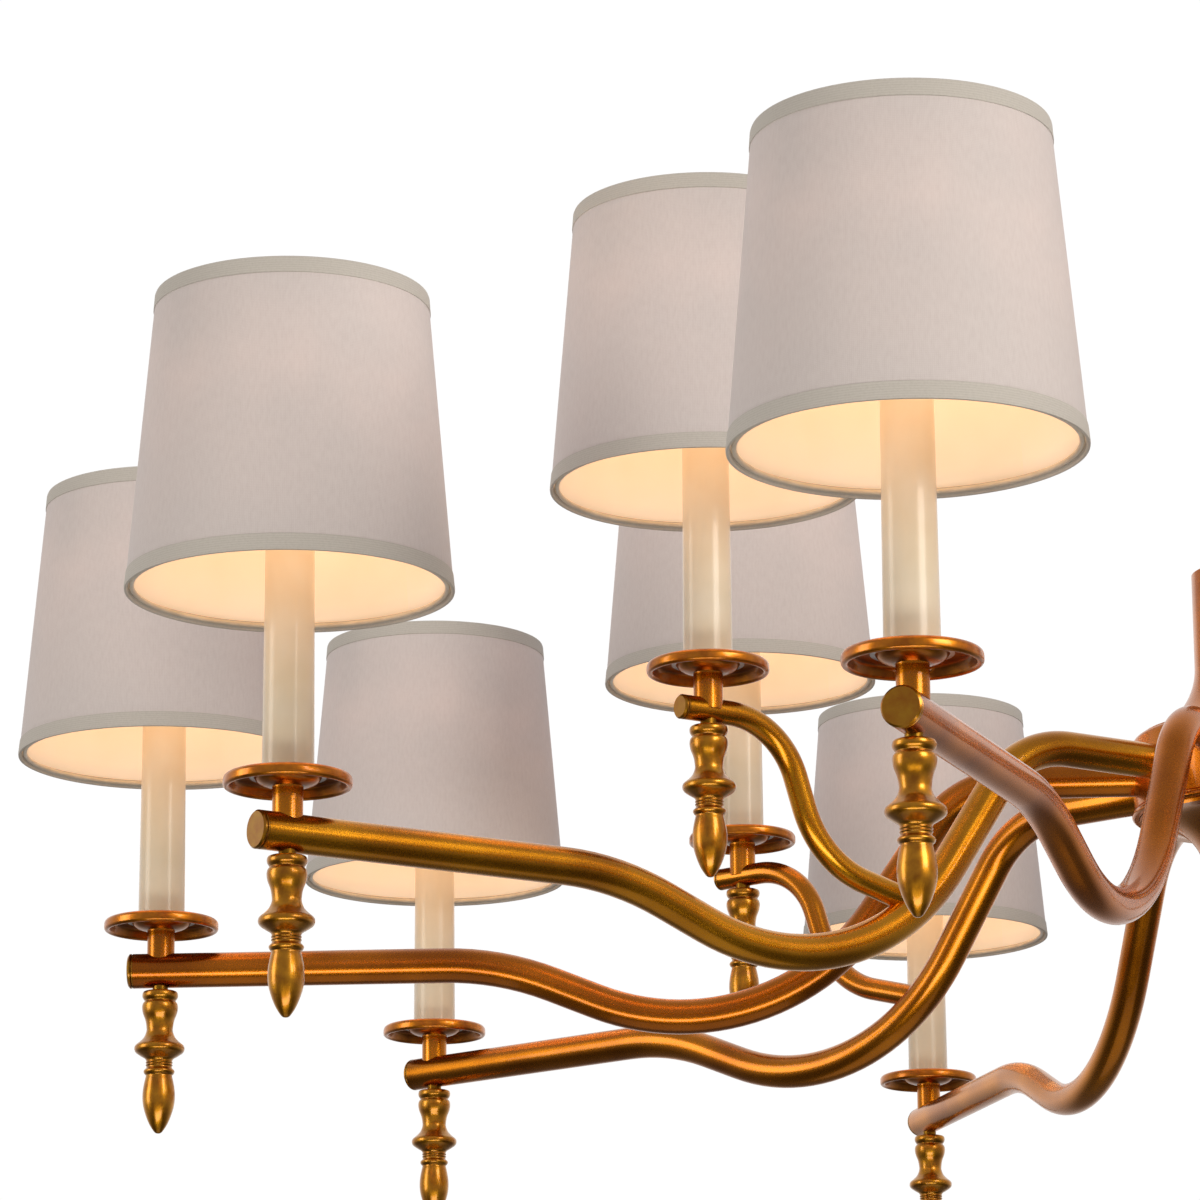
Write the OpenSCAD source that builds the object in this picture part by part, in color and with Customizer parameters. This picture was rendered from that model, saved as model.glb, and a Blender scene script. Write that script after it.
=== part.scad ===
// Chandelier with ten arms bent from round tube. Every second arm carries a thinner branch
// that lifts a second lamp above and inside the outer ring, so each pair of arms has three lamps.
// Each lamp is a turned finial, a neck, a drip cup, a candle sleeve with its socket and bulb,
// and a fabric shade that clips on to the bulb. The origin is the centre of the hanging eye.

/* [Arms] */
// Number of arm pairs, each a plain arm and a forked arm
arm_pairs = 5; // [3:1:5]
// Outside diameter of a main arm tube
arm_d = 18; // [15:0.5:22]
// Wall of a main arm tube
arm_wall = 1.2; // [0.8:0.1:2]
// Radial distance from the hub drum to the lowest point of an arm
dip_reach = 234; // [190:1:320]
// Height of an arm's hub end above its lamp end
arm_rise = 91; // [70:1:125]
// Depth of an arm's lowest point below its lamp end
arm_dip = 29; // [20:1:40]
// Steepest slope of an arm below the hub, in degrees
arm_fall = 55.5; // [42:0.5:68]
// Slope of an arm as it climbs to its lamp end, in degrees
arm_climb = 22; // [18:0.5:28]
// Bend radius of an arm at the hub
hub_bend_r = 56; // [40:1:70]
// Bend radius of an arm at its lowest point
dip_bend_r = 120; // [90:1:145]
// Bend radius of an arm where it levels out
lamp_bend_r = 150; // [90:1:185]

/* [Branches] */
// Outside diameter of a branch tube
branch_d = 12; // [10:0.1:14.5]
// Wall of a branch tube
branch_wall = 1; // [0.8:0.1:1.5]
// Radial distance from an arm's lowest point out to its branch lamp
branch_reach = 42; // [34:1:80]
// Radial distance from an arm's lowest point in to the root of its branch
branch_root = 80; // [66:1:90]
// Height of a branch's lamp end above the arm's lamp end
branch_rise = 85; // [71:1:110]
// Steepest slope of a branch, in degrees
branch_fall = 71.5; // [66:0.5:76]
// Slope at which a branch leaves its arm, in degrees
branch_lift = 15; // [5:0.5:20]
// Radial distance from a branch lamp in to the line of the steep stretch
branch_turn = 41; // [38:0.5:46]
// Bend radius of a branch below its lamp
branch_top_r = 40; // [30:1:44]
// Bend radius of a branch above its arm
branch_foot_r = 50; // [36:1:54]

/* [Lamp positions] */
// Radial distance from a branch lamp out to the outer lamp
lamp_gap = 230; // [185:1:320]
// Length of tube beyond the axis of its lamp, with the end plug
tube_overhang = 16.6; // [12:0.1:22]

/* [Hub] */
// Outside radius of the drum that the arms screw into
drum_r = 66; // [58:1:85]
// Height of the drum
drum_h = 42; // [34:1:56]
// Wall of the drum, the column and the lower bell
hub_wall = 2.2; // [1.5:0.1:3]
// Outside radius of the column
column_r = 32.5; // [26:0.5:40]
// Height of the column above the drum
column_h = 87; // [70:1:140]
// Radius of the cove that flares the column out on to the drum
column_cove_r = 38; // [32:1:48]
// Outside radius of the lower bell at its waist
bell_neck_r = 31; // [26:0.5:38]
// Radius of the lower bell's cove
bell_cove_r = 27; // [22:0.5:32]
// Radius of the bowl under the lower bell's waist
bell_bowl_r = 16; // [12:0.5:20]
// Size of the bottom finial against the lamp finials
bottom_finial_scale = 1.35; // [1:0.05:1.8]
// Outside diameter of the threaded pipe down the middle
centre_pipe_d = 13; // [11:0.5:16]

/* [Hanging loop] */
// Radius of the eye that the chain link passes through
eye_r = 9.5; // [7:0.5:13]
// Width of metal around the eye
eye_rim = 6.5; // [5:0.5:9]
// Thickness of the loop along the eye
eye_t = 7; // [5:0.5:10]
// Height of the screwed collar under the loop
loop_collar_h = 11; // [8:0.5:16]
// Height of the domed cap on the column
cap_h = 15; // [10:0.5:24]

/* [Lamp hardware] */
// Outside diameter of the threaded pipe through each lamp
stem_d = 8; // [6:0.5:9]
// Height from the top of a tube to the underside of its drip cup
neck_h = 11.8; // [8:0.1:16]
// Outside diameter of a neck
neck_d = 14.2; // [11:0.1:17]
// Radius of a drip cup
cup_r = 29.7; // [24:0.1:38]
// Height of a drip cup's turned-down rim
cup_rim_h = 6; // [5:0.1:9]
// Rise of a drip cup's top from its rim to the sleeve
cup_dome = 1.5; // [0.5:0.1:3]
// Thickness of a drip cup's metal
cup_t = 1.8; // [1.2:0.1:2.4]
// Length of a lamp finial below its tube
finial_h = 76; // [70:0.5:95]
// Gap between a tube and the collar of its finial
finial_gap = 1.8; // [1:0.1:3]

/* [Candle and bulb] */
// Height of a candle sleeve
sleeve_h = 114; // [95:1:140]
// Outside diameter of a sleeve at its foot
sleeve_foot_d = 24; // [23.5:0.1:28]
// Outside diameter of a sleeve at its top
sleeve_top_d = 22.6; // [22.4:0.1:26]
// Wall of a sleeve
sleeve_wall = 1.1; // [0.8:0.1:1.4]
// Height of a lamp socket
socket_h = 38; // [32:1:50]
// Diameter of a bulb's screw base
bulb_base_d = 11.8; // [11:0.1:13.6]
// Length of a bulb's screw base
bulb_base_h = 21; // [18:0.5:26]
// Largest diameter of a bulb
bulb_d = 34; // [28:0.5:40]
// Length of a bulb's glass
bulb_glass_h = 78; // [68:1:95]

/* [Shade] */
// Radius of a shade at its bottom edge
shade_bottom_r = 76.2; // [62:0.1:92]
// Radius of a shade at its top edge
shade_top_r = 64; // [50:0.1:80]
// Height of a shade
shade_h = 142; // [118:1:170]
// Height of a shade's bottom edge above the underside of its drip cup
shade_lift = 92; // [78:1:110]
// Thickness of the lined fabric
shade_wall = 1; // [0.6:0.1:1.6]
// Height of the trim band at each edge
trim_h = 8; // [5:0.5:14]
// Thickness of the trim band
trim_t = 0.5; // [0.3:0.1:1]
// Diameter of the wire in a shade's frame
wire_d = 2.4; // [1.6:0.1:3]

/* [Clearances] */
// Gap between pieces that are fixed together
seat_gap = 0.1; // [0.05:0.05:0.2]
// Gap around a pipe in its hole, on the diameter
pipe_gap = 0.2; // [0.1:0.1:0.4]
// Gap between pieces that lift apart
lift_gap = 0.4; // [0.3:0.1:0.6]

/* [Hidden] */
$fn = 96;
arm_count = 2 * arm_pairs;
lamp_count = 3 * arm_pairs;
arm_step = 360 / arm_count;

// Radii of the arm's points, measured from the chandelier's axis
dip_r = drum_r + dip_reach;
branch_circle_r = dip_r + branch_reach;
lamp_circle_r = branch_circle_r + lamp_gap;

// Heights below the centre of the eye
cap_top_z = -(eye_r + eye_rim / 2 + loop_collar_h);
column_top_z = cap_top_z - cap_h;
drum_top_z = column_top_z - column_h;
arm_z = drum_top_z - drum_h / 2;
drum_bottom_z = drum_top_z - drum_h;
bell_waist_z = drum_bottom_z - hub_wall - bell_cove_r;
bell_bottom_z = bell_waist_z - bell_bowl_r;
tube_z = arm_z - arm_rise;
branch_tube_z = tube_z + branch_rise;

// Main arm: tangent points of its bends, with heights above its lamp end
fall_foot = [dip_r - dip_bend_r * sin(arm_fall), -arm_dip + dip_bend_r * (1 - cos(arm_fall))];
fall_corner_r = fall_foot[0] - (arm_rise - fall_foot[1]) / tan(arm_fall);
hub_tangent = hub_bend_r * tan(arm_fall / 2);
climb_foot = [dip_r + dip_bend_r * sin(arm_climb), -arm_dip + dip_bend_r * (1 - cos(arm_climb))];
climb_corner_r = climb_foot[0] - climb_foot[1] / tan(arm_climb);
lamp_tangent = lamp_bend_r * tan(arm_climb / 2);
plug_t = 3;
tube_end = tube_overhang - plug_t - seat_gap;

// Steps of a bent tube are [0, length] for a straight and [bend radius, angle] for a bend,
// where a positive angle turns the tube up
arm_steps = [
    [0, fall_corner_r - hub_tangent],
    [hub_bend_r, -arm_fall],
    [0, (arm_rise - fall_foot[1]) / sin(arm_fall) - hub_tangent],
    [dip_bend_r, arm_fall + arm_climb],
    [0, -climb_foot[1] / sin(arm_climb) - lamp_tangent],
    [lamp_bend_r, -arm_climb],
    [0, lamp_circle_r + tube_end - climb_corner_r - lamp_tangent]
];

// Branch: its root on the arm's axis, then the corners between its straight stretches
root_angle = asin(branch_root / dip_bend_r);
root = [dip_r - branch_root, -arm_dip + dip_bend_r * (1 - cos(root_angle))];
top_corner_r = branch_circle_r - branch_turn;
foot_corner_r = (root[1] - root[0] * tan(branch_lift) - branch_rise + top_corner_r * tan(branch_fall))
    / (tan(branch_fall) - tan(branch_lift));
top_tangent = branch_top_r * tan(branch_fall / 2);
foot_tangent = branch_foot_r * tan((branch_fall - branch_lift) / 2);
branch_steps = [
    [0, (foot_corner_r - root[0]) / cos(branch_lift) - foot_tangent],
    [branch_foot_r, branch_fall - branch_lift],
    [0, (top_corner_r - foot_corner_r) / cos(branch_fall) - foot_tangent - top_tangent],
    [branch_top_r, -branch_fall],
    [0, branch_turn - top_tangent + tube_end]
];

// Threaded end of an arm inside the drum, and the nuts
nipple_d = 10;
nipple_bore = 6.5;
nipple_in = 12;
nut_t = 4;
nut_gap = 0.1;

// Levels of a lamp above the underside of its drip cup
cup_top = cup_rim_h + cup_dome;
cup_plate_bottom = cup_top - cup_t;
sleeve_top = cup_top + seat_gap + sleeve_h;
socket_top = sleeve_top - 2.5;
bulb_bottom = socket_top + lift_gap - bulb_base_h;
glass_bottom = socket_top + lift_gap;
bulb_top = glass_bottom + bulb_glass_h;
belly_z = glass_bottom + 0.42 * bulb_glass_h;
shade_top = shade_lift + shade_h;
stem_top = cup_top + 14;
stem_in_finial = 12;
socket_r = sleeve_top_d / 2 - sleeve_wall - lift_gap;

// Shade frame
clip_r = bulb_d / 2 + lift_gap + wire_d / 2;
spider_hub_r = 6;
spider_z = bulb_top + 5 + wire_d;
ring_inset = trim_t + shade_wall + seat_gap + wire_d / 2;

// Lamps 1 to arm_count stand on the main arms, and the others on the branches
function is_outer(i) = i <= arm_count;
function lamp_angle(i) = is_outer(i) ? (i - 1) * arm_step : 2 * (i - 1 - arm_count) * arm_step;
function lamp_r(i) = is_outer(i) ? lamp_circle_r : branch_circle_r;
function lamp_tube_z(i) = is_outer(i) ? tube_z : branch_tube_z;
function lamp_tube_d(i) = is_outer(i) ? arm_d : branch_d;
function lamp_cup_z(i) = lamp_tube_z(i) + lamp_tube_d(i) / 2 + neck_h;
function is_forked(i) = i % 2 == 1;

// Puts its children at a lamp's drip cup, turned to face outward
module at_lamp(i) {
    rotate([0, 0, lamp_angle(i)])
        translate([lamp_r(i), 0, lamp_cup_z(i)])
            children();
}

// Puts its children at a lamp's drip cup without turning them
module upright_at_lamp(i) {
    translate([lamp_r(i) * cos(lamp_angle(i)), lamp_r(i) * sin(lamp_angle(i)), lamp_cup_z(i)])
        children();
}

// Solid run of tube from the origin along +X, one step after another. A straight laps a little
// into the bends beside it, and a bend is drawn a hair thinner than a straight.
module tube_run(steps, d, i = 0) {
    lap = 0.3;
    draw = 0.02;
    if (i < len(steps)) {
        bend_r = steps[i][0];
        amount = steps[i][1];
        lap_before = i > 0 ? lap : 0;
        lap_after = i < len(steps) - 1 ? lap : 0;
        if (bend_r == 0) {
            translate([-lap_before, 0, 0])
                rotate([0, 90, 0])
                    cylinder(d = d, h = amount + lap_before + lap_after);
            translate([amount, 0, 0])
                tube_run(steps, d, i + 1);
        } else {
            side = sign(amount);
            translate([0, 0, side * bend_r])
                rotate([90 * side, 90 * side, 0])
                    rotate_extrude(angle = abs(amount), $fn = 180)
                        translate([bend_r, 0])
                            circle(d = d - draw, $fn = 48);
            translate([bend_r * sin(abs(amount)), 0, side * bend_r * (1 - cos(amount))])
                rotate([0, -amount, 0])
                    tube_run(steps, d, i + 1);
        }
    }
}

// Straight wire between two points
module wire(a, b, d = wire_d) {
    run = b - a;
    translate(a)
        rotate([0, acos(run[2] / norm(run)), atan2(run[1], run[0])])
            cylinder(d = d, h = norm(run), $fn = 24);
}

// Section of a shade ring: a round wire as twelve flats.
module wire_section() {
    polygon([for (a = [15 : 30 : 345]) wire_d / 2 * [cos(a), sin(a)]]);
}

// Rounded bead of a turned outline, r_out at its widest and 2 * r_bead thick
module bead(r_out, r_bead, y) {
    translate([r_out - r_bead, y])
        circle(r = r_bead);
    translate([0, y - r_bead])
        square([r_out - r_bead, 2 * r_bead]);
}

// Stretch of a turned outline from y_low to y_high, r_wide at most, waisted to r_waist by a cove
module waist(r_wide, r_waist, y_low, y_high, r_cove) {
    difference() {
        translate([0, y_low])
            square([r_wide, y_high - y_low]);
        translate([r_waist + r_cove, (y_low + y_high) / 2])
            circle(r = r_cove);
    }
}

// Half outline of a finial that hangs from y = 0 down to y = -h
module finial_outline(h) {
    spike_r = 8.5;
    spike_top = 44.6;
    groove_at = 47;
    spike_belly = 56;
    drop = h - spike_belly;
    arc_r = (spike_r * spike_r + drop * drop) / (2 * spike_r);
    arc_end = asin(drop / arc_r);
    arc_facets = 12;
    translate([0, -spike_belly])
        square([5.5, spike_belly - finial_gap]);
    bead(9.4, 2.3, -finial_gap - 2.3);
    bead(9.6, 4.6, -11.2);
    waist(9.3, 7.3, -31, -14, 11);
    bead(13.1, 3.2, -32.6);
    waist(8.6, 6.6, -43, -35, 3.2);
    bead(7.7, 0.9, -39.6);
    bead(8.1, 1.7, -44.6);
    polygon(concat(
        [[0, -spike_top], [6, -spike_top], [7, -groove_at]],
        [for (t = [0:arc_facets - 1])
            [spike_r - arc_r * (1 - cos(t * arc_end / arc_facets)),
             -spike_belly - arc_r * sin(t * arc_end / arc_facets)]],
        [[0, -h]]
    ));
}

// Turned finial with a blind hole for its stem
module turned_finial(h, bore_d) {
    difference() {
        rotate_extrude()
            finial_outline(h);
        translate([0, 0, -stem_in_finial])
            cylinder(d = bore_d, h = stem_in_finial + 1);
    }
}

// Hexagonal nut with its bore along Z, standing on z = 0
module hex_nut(bore_d, t = nut_t) {
    difference() {
        cylinder(d = 1.65 * bore_d, h = t, $fn = 6);
        translate([0, 0, -1])
            cylinder(d = bore_d + nut_gap, h = t + 2);
    }
}

// Cast loop: a chamfered ring around the eye on a round collar
module hang_loop() {
    chamfer = 1.5;
    outer_r = eye_r + eye_rim;
    color("#8a5a1c")
        difference() {
            union() {
                rotate([90, 0, 0])
                    rotate_extrude()
                        polygon([
                            [eye_r, -eye_t / 2 + chamfer], [eye_r + chamfer, -eye_t / 2],
                            [outer_r - chamfer, -eye_t / 2], [outer_r, -eye_t / 2 + chamfer],
                            [outer_r, eye_t / 2 - chamfer], [outer_r - chamfer, eye_t / 2],
                            [eye_r + chamfer, eye_t / 2], [eye_r, eye_t / 2 - chamfer]
                        ]);
                translate([0, 0, cap_top_z + seat_gap])
                    cylinder(r = centre_pipe_d / 2 + 4, h = loop_collar_h - 4);
                translate([0, 0, cap_top_z + seat_gap + loop_collar_h - 4])
                    cylinder(r1 = centre_pipe_d / 2 + 4, r2 = eye_t / 2 + 1.5, h = 4);
            }
            rotate([90, 0, 0])
                cylinder(r = eye_r, h = 2 * eye_t, center = true);
            translate([0, 0, cap_top_z - 1])
                cylinder(d = centre_pipe_d + pipe_gap, h = 8);
        }
}

// Domed cap that closes the column and takes the loop's collar
module column_cap() {
    rim_r = column_r - 5.5;
    dome_r = (rim_r * rim_r + cap_h * cap_h) / (2 * cap_h);
    color("#7a4a18")
        difference() {
            rotate_extrude()
                intersection() {
                    translate([0, column_top_z + seat_gap])
                        square([rim_r, cap_h - seat_gap]);
                    translate([0, cap_top_z - dome_r])
                        circle(r = dome_r, $fn = 180);
                }
            translate([0, 0, column_top_z - 1])
                cylinder(d = centre_pipe_d + pipe_gap, h = cap_h + 2);
        }
}

// Hollow column that flares out on to the drum by a cove
module column() {
    flare_r = drum_r - 4;
    cove_centre = [column_r + column_cove_r, drum_top_z + column_cove_r];
    color("#8a4a16")
        rotate_extrude()
            difference() {
                union() {
                    translate([centre_pipe_d / 2 + pipe_gap, column_top_z - hub_wall])
                        square([column_r - centre_pipe_d / 2 - pipe_gap, hub_wall]);
                    translate([column_r - hub_wall, drum_top_z + column_cove_r])
                        square([hub_wall, column_h - column_cove_r]);
                    intersection() {
                        translate(cove_centre)
                            circle(r = column_cove_r + hub_wall, $fn = 180);
                        translate([column_r - hub_wall, drum_top_z + seat_gap])
                            square([flare_r - column_r + hub_wall, column_cove_r]);
                    }
                }
                translate(cove_centre)
                    circle(r = column_cove_r, $fn = 180);
            }
}

// Drum with a rounded shoulder, open below, with one hole for each arm
module hub_drum() {
    shoulder_r = 3.5;
    lip_r = 1.3;
    groove_r = 0.8;
    color("#9a5216")
        difference() {
            rotate_extrude()
                difference() {
                    union() {
                        translate([0, drum_bottom_z])
                            square([drum_r, drum_h - shoulder_r]);
                        translate([0, drum_bottom_z])
                            square([drum_r - shoulder_r, drum_h]);
                        translate([drum_r - shoulder_r, drum_top_z - shoulder_r])
                            circle(r = shoulder_r);
                        translate([drum_r, drum_bottom_z + lip_r])
                            circle(r = lip_r);
                    }
                    translate([-1, drum_bottom_z - 1])
                        square([drum_r - hub_wall + 1, drum_h - hub_wall + 1]);
                    translate([drum_r, drum_bottom_z + 2 * lip_r + groove_r])
                        circle(r = groove_r);
                }
            translate([0, 0, drum_top_z - hub_wall - 1])
                cylinder(d = centre_pipe_d + pipe_gap, h = hub_wall + 2);
            for (i = [1:arm_count])
                rotate([0, 0, (i - 1) * arm_step])
                    translate([drum_r - hub_wall - 2, 0, arm_z])
                        rotate([0, 90, 0])
                            cylinder(d = nipple_d + pipe_gap, h = hub_wall + 4);
        }
}

// Lower bell: a plate under the drum, a cove in to its waist, and a hollow bowl
module lower_bell() {
    rim_r = drum_r - 2.5;
    foot_r = bell_neck_r - bell_bowl_r;
    plate_z = drum_bottom_z - hub_wall;
    color("#6e3c14")
        rotate_extrude()
            difference() {
                union() {
                    translate([0, plate_z])
                        square([rim_r, hub_wall - seat_gap]);
                    difference() {
                        translate([0, bell_waist_z])
                            square([bell_neck_r + bell_cove_r, bell_cove_r]);
                        translate([bell_neck_r + bell_cove_r, bell_waist_z])
                            circle(r = bell_cove_r, $fn = 180);
                    }
                    intersection() {
                        translate([foot_r, bell_waist_z])
                            circle(r = bell_bowl_r, $fn = 180);
                        translate([0, bell_bottom_z])
                            square([bell_neck_r, bell_bowl_r]);
                    }
                    translate([0, bell_bottom_z])
                        square([foot_r, bell_bowl_r]);
                }
                translate([-1, bell_waist_z])
                    square([bell_neck_r - hub_wall + 1, drum_h]);
                translate([-1, bell_bottom_z + hub_wall])
                    square([foot_r + 1, bell_bowl_r]);
                intersection() {
                    translate([foot_r, bell_waist_z])
                        circle(r = bell_bowl_r - hub_wall, $fn = 180);
                    translate([foot_r - 1, bell_bottom_z])
                        square([bell_neck_r, bell_bowl_r + 1]);
                }
                translate([-1, bell_bottom_z - 1])
                    square([(centre_pipe_d + pipe_gap) / 2 + 1, bell_bowl_r]);
            }
}

// Larger finial under the lower bell
module bottom_finial() {
    color("#b8862a")
        translate([0, 0, bell_bottom_z])
            difference() {
                scale(bottom_finial_scale)
                    rotate_extrude()
                        finial_outline(finial_h);
                translate([0, 0, -stem_in_finial])
                    cylinder(d = centre_pipe_d + pipe_gap, h = stem_in_finial + 1);
            }
}

// Threaded pipe from the loop down to the bottom finial
module centre_pipe() {
    top_z = cap_top_z + 6;
    bottom_z = bell_bottom_z - stem_in_finial + 1;
    color("#b0a080")
        difference() {
            translate([0, 0, bottom_z])
                cylinder(d = centre_pipe_d, h = top_z - bottom_z);
            translate([0, 0, bottom_z - 1])
                cylinder(d = centre_pipe_d - 4, h = top_z - bottom_z + 2);
        }
}

// Nuts inside the drum on every arm, and on the pipe under the column, drum and bell plates
module lock_nuts() {
    color("#c0b080") {
        for (i = [1:arm_count])
            rotate([0, 0, (i - 1) * arm_step])
                translate([drum_r - hub_wall - nut_t - seat_gap - 0.6, 0, arm_z])
                    rotate([0, 90, 0])
                        hex_nut(nipple_d);
        for (z = [column_top_z, drum_top_z])
            translate([0, 0, z - hub_wall - nut_t - seat_gap])
                hex_nut(centre_pipe_d);
        translate([0, 0, bell_bottom_z + hub_wall + seat_gap])
            hex_nut(centre_pipe_d);
    }
}

// One arm tube seated on the drum, with its threaded nipple and its holes for stem and wires
module main_arm(i) {
    bush_t = 8;
    nipple_from = drum_r - hub_wall - nipple_in;
    wire_hole = branch_d - 2 * branch_wall;
    color("#b07a1e")
        rotate([0, 0, (i - 1) * arm_step]) {
            difference() {
                union() {
                    difference() {
                        translate([0, 0, arm_z])
                            tube_run(arm_steps, arm_d);
                        translate([0, 0, arm_z])
                            cylinder(r = drum_r + seat_gap, h = 4 * arm_d, center = true);
                    }
                    translate([nipple_from, 0, arm_z])
                        rotate([0, 90, 0])
                            cylinder(d = nipple_d, h = nipple_in + hub_wall + bush_t);
                }
                difference() {
                    translate([0, 0, arm_z])
                        tube_run(concat(arm_steps, [[0, 1]]), arm_d - 2 * arm_wall);
                    translate([0, 0, arm_z])
                        cylinder(r = drum_r + bush_t, h = 4 * arm_d, center = true);
                }
                translate([nipple_from - 1, 0, arm_z])
                    rotate([0, 90, 0])
                        cylinder(d = nipple_bore, h = nipple_in + hub_wall + bush_t + 2);
                translate([lamp_circle_r, 0, tube_z])
                    cylinder(d = stem_d + pipe_gap, h = 2 * arm_d, center = true);
                if (is_forked(i))
                    translate([root[0], 0, tube_z + root[1]])
                        rotate([0, 90 - branch_lift, 0])
                            cylinder(d = wire_hole, h = arm_d);
            }
        }
}

// One branch tube, notched to sit on its arm
module branch_arm(k) {
    color("#a87018")
        rotate([0, 0, 2 * (k - 1) * arm_step])
            difference() {
                translate([root[0], 0, tube_z + root[1]])
                    rotate([0, -branch_lift, 0])
                        tube_run(branch_steps, branch_d);
                translate([root[0], 0, tube_z + root[1]])
                    rotate([0, -branch_lift, 0])
                        tube_run(concat(branch_steps, [[0, 1]]), branch_d - 2 * branch_wall);
                translate([0, 0, arm_z])
                    tube_run(arm_steps, arm_d + 2 * seat_gap);
                translate([branch_circle_r, 0, branch_tube_z])
                    cylinder(d = stem_d + pipe_gap, h = 2 * branch_d, center = true);
            }
}

// Plug in the open end of every tube, with a grooved head
module end_plugs() {
    head_edge = 0.8;
    spigot = 4;
    color("#8c6a1c")
        for (i = [1:lamp_count])
            rotate([0, 0, lamp_angle(i)])
                translate([lamp_r(i) + tube_overhang - plug_t, 0, lamp_tube_z(i)])
                    rotate([0, 90, 0])
                        plug(lamp_tube_d(i) / 2, is_outer(i) ? arm_wall : branch_wall, head_edge, spigot);
}

// Plug whose head has a chamfered edge and a shallow groove behind it
module plug(r, wall, edge, spigot) {
    groove = 0.5;
    rotate_extrude()
        polygon([
            [0, -spigot], [r - wall - seat_gap, -spigot], [r - wall - seat_gap, 0],
            [r, 0], [r, 0.6], [r - groove, 1], [r, 1.4],
            [r, plug_t - edge], [r - edge, plug_t], [0, plug_t]
        ]);
}

// Threaded pipes that clamp finial, tube, neck, cup and socket together
module lamp_stems() {
    color("#b0a080")
        for (i = [1:lamp_count])
            at_lamp(i) {
                low = -neck_h - lamp_tube_d(i) - stem_in_finial + 1;
                translate([0, 0, low])
                    difference() {
                        cylinder(d = stem_d, h = stem_top - low);
                        translate([0, 0, -1])
                            cylinder(d = stem_d - 3, h = stem_top - low + 2);
                    }
            }
}

// Necks: a round post notched over the tube, flared under the drip cup
module necks() {
    flare_r = 14;
    cove_r = 5.5;
    color("#a86c1c")
        for (i = [1:lamp_count])
            at_lamp(i)
                difference() {
                    rotate_extrude()
                        difference() {
                            translate([0, -neck_h - lamp_tube_d(i) / 2])
                                square([flare_r, neck_h + lamp_tube_d(i) / 2 + cup_plate_bottom - seat_gap]);
                            translate([neck_d / 2 + cove_r, cup_plate_bottom - 1.2 - cove_r])
                                circle(r = cove_r);
                            translate([neck_d / 2, -4 * neck_h])
                                square([flare_r, 4 * neck_h + cup_plate_bottom - 1.2 - cove_r]);
                            translate([neck_d / 2 + cove_r, -4 * neck_h])
                                square([flare_r, 4 * neck_h + cup_plate_bottom - 1.2]);
                        }
                    translate([0, 0, -neck_h - lamp_tube_d(i) / 2])
                        rotate([0, 90, 0])
                            cylinder(d = lamp_tube_d(i) + 2 * seat_gap, h = 4 * flare_r, center = true);
                    translate([0, 0, -4 * neck_h])
                        cylinder(d = stem_d + pipe_gap, h = 6 * neck_h);
                }
}

// Drip cups: a low domed plate with a turned-down rim, open underneath
module drip_cups() {
    shoulder_r = 2.4;
    lip = 0.6;
    hole_r = (stem_d + pipe_gap) / 2;
    shoulder = [for (t = [0:15:90])
        [cup_r - shoulder_r * (1 - cos(t)), cup_rim_h - shoulder_r * (1 - sin(t))]];
    color("#a05c1c")
        for (i = [1:lamp_count])
            at_lamp(i)
                rotate_extrude()
                    polygon(concat(
                        [[cup_r - cup_t, 0], [cup_r - lip, 0], [cup_r, lip]],
                        shoulder,
                        [[sleeve_foot_d / 2 + 1, cup_top], [hole_r, cup_top],
                         [hole_r, cup_plate_bottom], [sleeve_foot_d / 2 + 1, cup_plate_bottom],
                         [cup_r - shoulder_r, cup_rim_h - cup_t],
                         [cup_r - cup_t, cup_rim_h - shoulder_r]]
                    ));
}

// Candle sockets: a foot on the stem, a strap and a moulded body with the screw shell
module lamp_sockets() {
    strap_t = 1.5;
    strap_w = 9;
    foot_z = cup_top + 6;
    color("#2a241c")
        for (i = [1:lamp_count])
            at_lamp(i) {
                translate([0, 0, socket_top - socket_h])
                    difference() {
                        cylinder(r = socket_r, h = socket_h);
                        translate([0, 0, socket_h - bulb_base_h - 2])
                            cylinder(d = bulb_base_d + 2 * lift_gap, h = bulb_base_h + 3);
                    }
                intersection() {
                    translate([socket_r - strap_t, -strap_w / 2, foot_z])
                        cube([strap_t, strap_w, socket_top - socket_h - foot_z]);
                    cylinder(r = socket_r, h = socket_top);
                }
                translate([0, 0, foot_z])
                    difference() {
                        cylinder(r = socket_r, h = 2);
                        translate([0, 0, -1])
                            cylinder(d = stem_d + pipe_gap, h = 4);
                    }
            }
}

// Candle sleeves: slightly tapered tubes that stand on the drip cups
module candle_sleeves() {
    foot_r = sleeve_foot_d / 2;
    top_r = sleeve_top_d / 2;
    color("#f4ecd0")
        for (i = [1:lamp_count])
            at_lamp(i)
                rotate_extrude()
                    polygon([
                        [foot_r - sleeve_wall, cup_top + seat_gap], [foot_r, cup_top + seat_gap],
                        [top_r, sleeve_top], [top_r - sleeve_wall, sleeve_top]
                    ]);
}

// Turned finials under the tubes
module finials() {
    color("#b8862a")
        for (i = [1:lamp_count])
            at_lamp(i)
                translate([0, 0, -neck_h - lamp_tube_d(i)])
                    turned_finial(finial_h, stem_d + pipe_gap);
}

// Half outline of a shade's lined fabric with its trim bands
module shade_outline() {
    function edge_r(z) = shade_bottom_r
        + (shade_top_r - shade_bottom_r) * (z - shade_lift) / shade_h;
    low_trim = shade_lift + trim_h;
    high_trim = shade_top - trim_h;
    skin = trim_t + shade_wall;
    polygon([
        [edge_r(shade_lift) - skin, shade_lift], [edge_r(shade_lift), shade_lift],
        [edge_r(low_trim), low_trim], [edge_r(low_trim) - trim_t, low_trim],
        [edge_r(high_trim) - trim_t, high_trim], [edge_r(high_trim), high_trim],
        [edge_r(shade_top), shade_top], [edge_r(shade_top) - skin, shade_top]
    ]);
}

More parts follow.
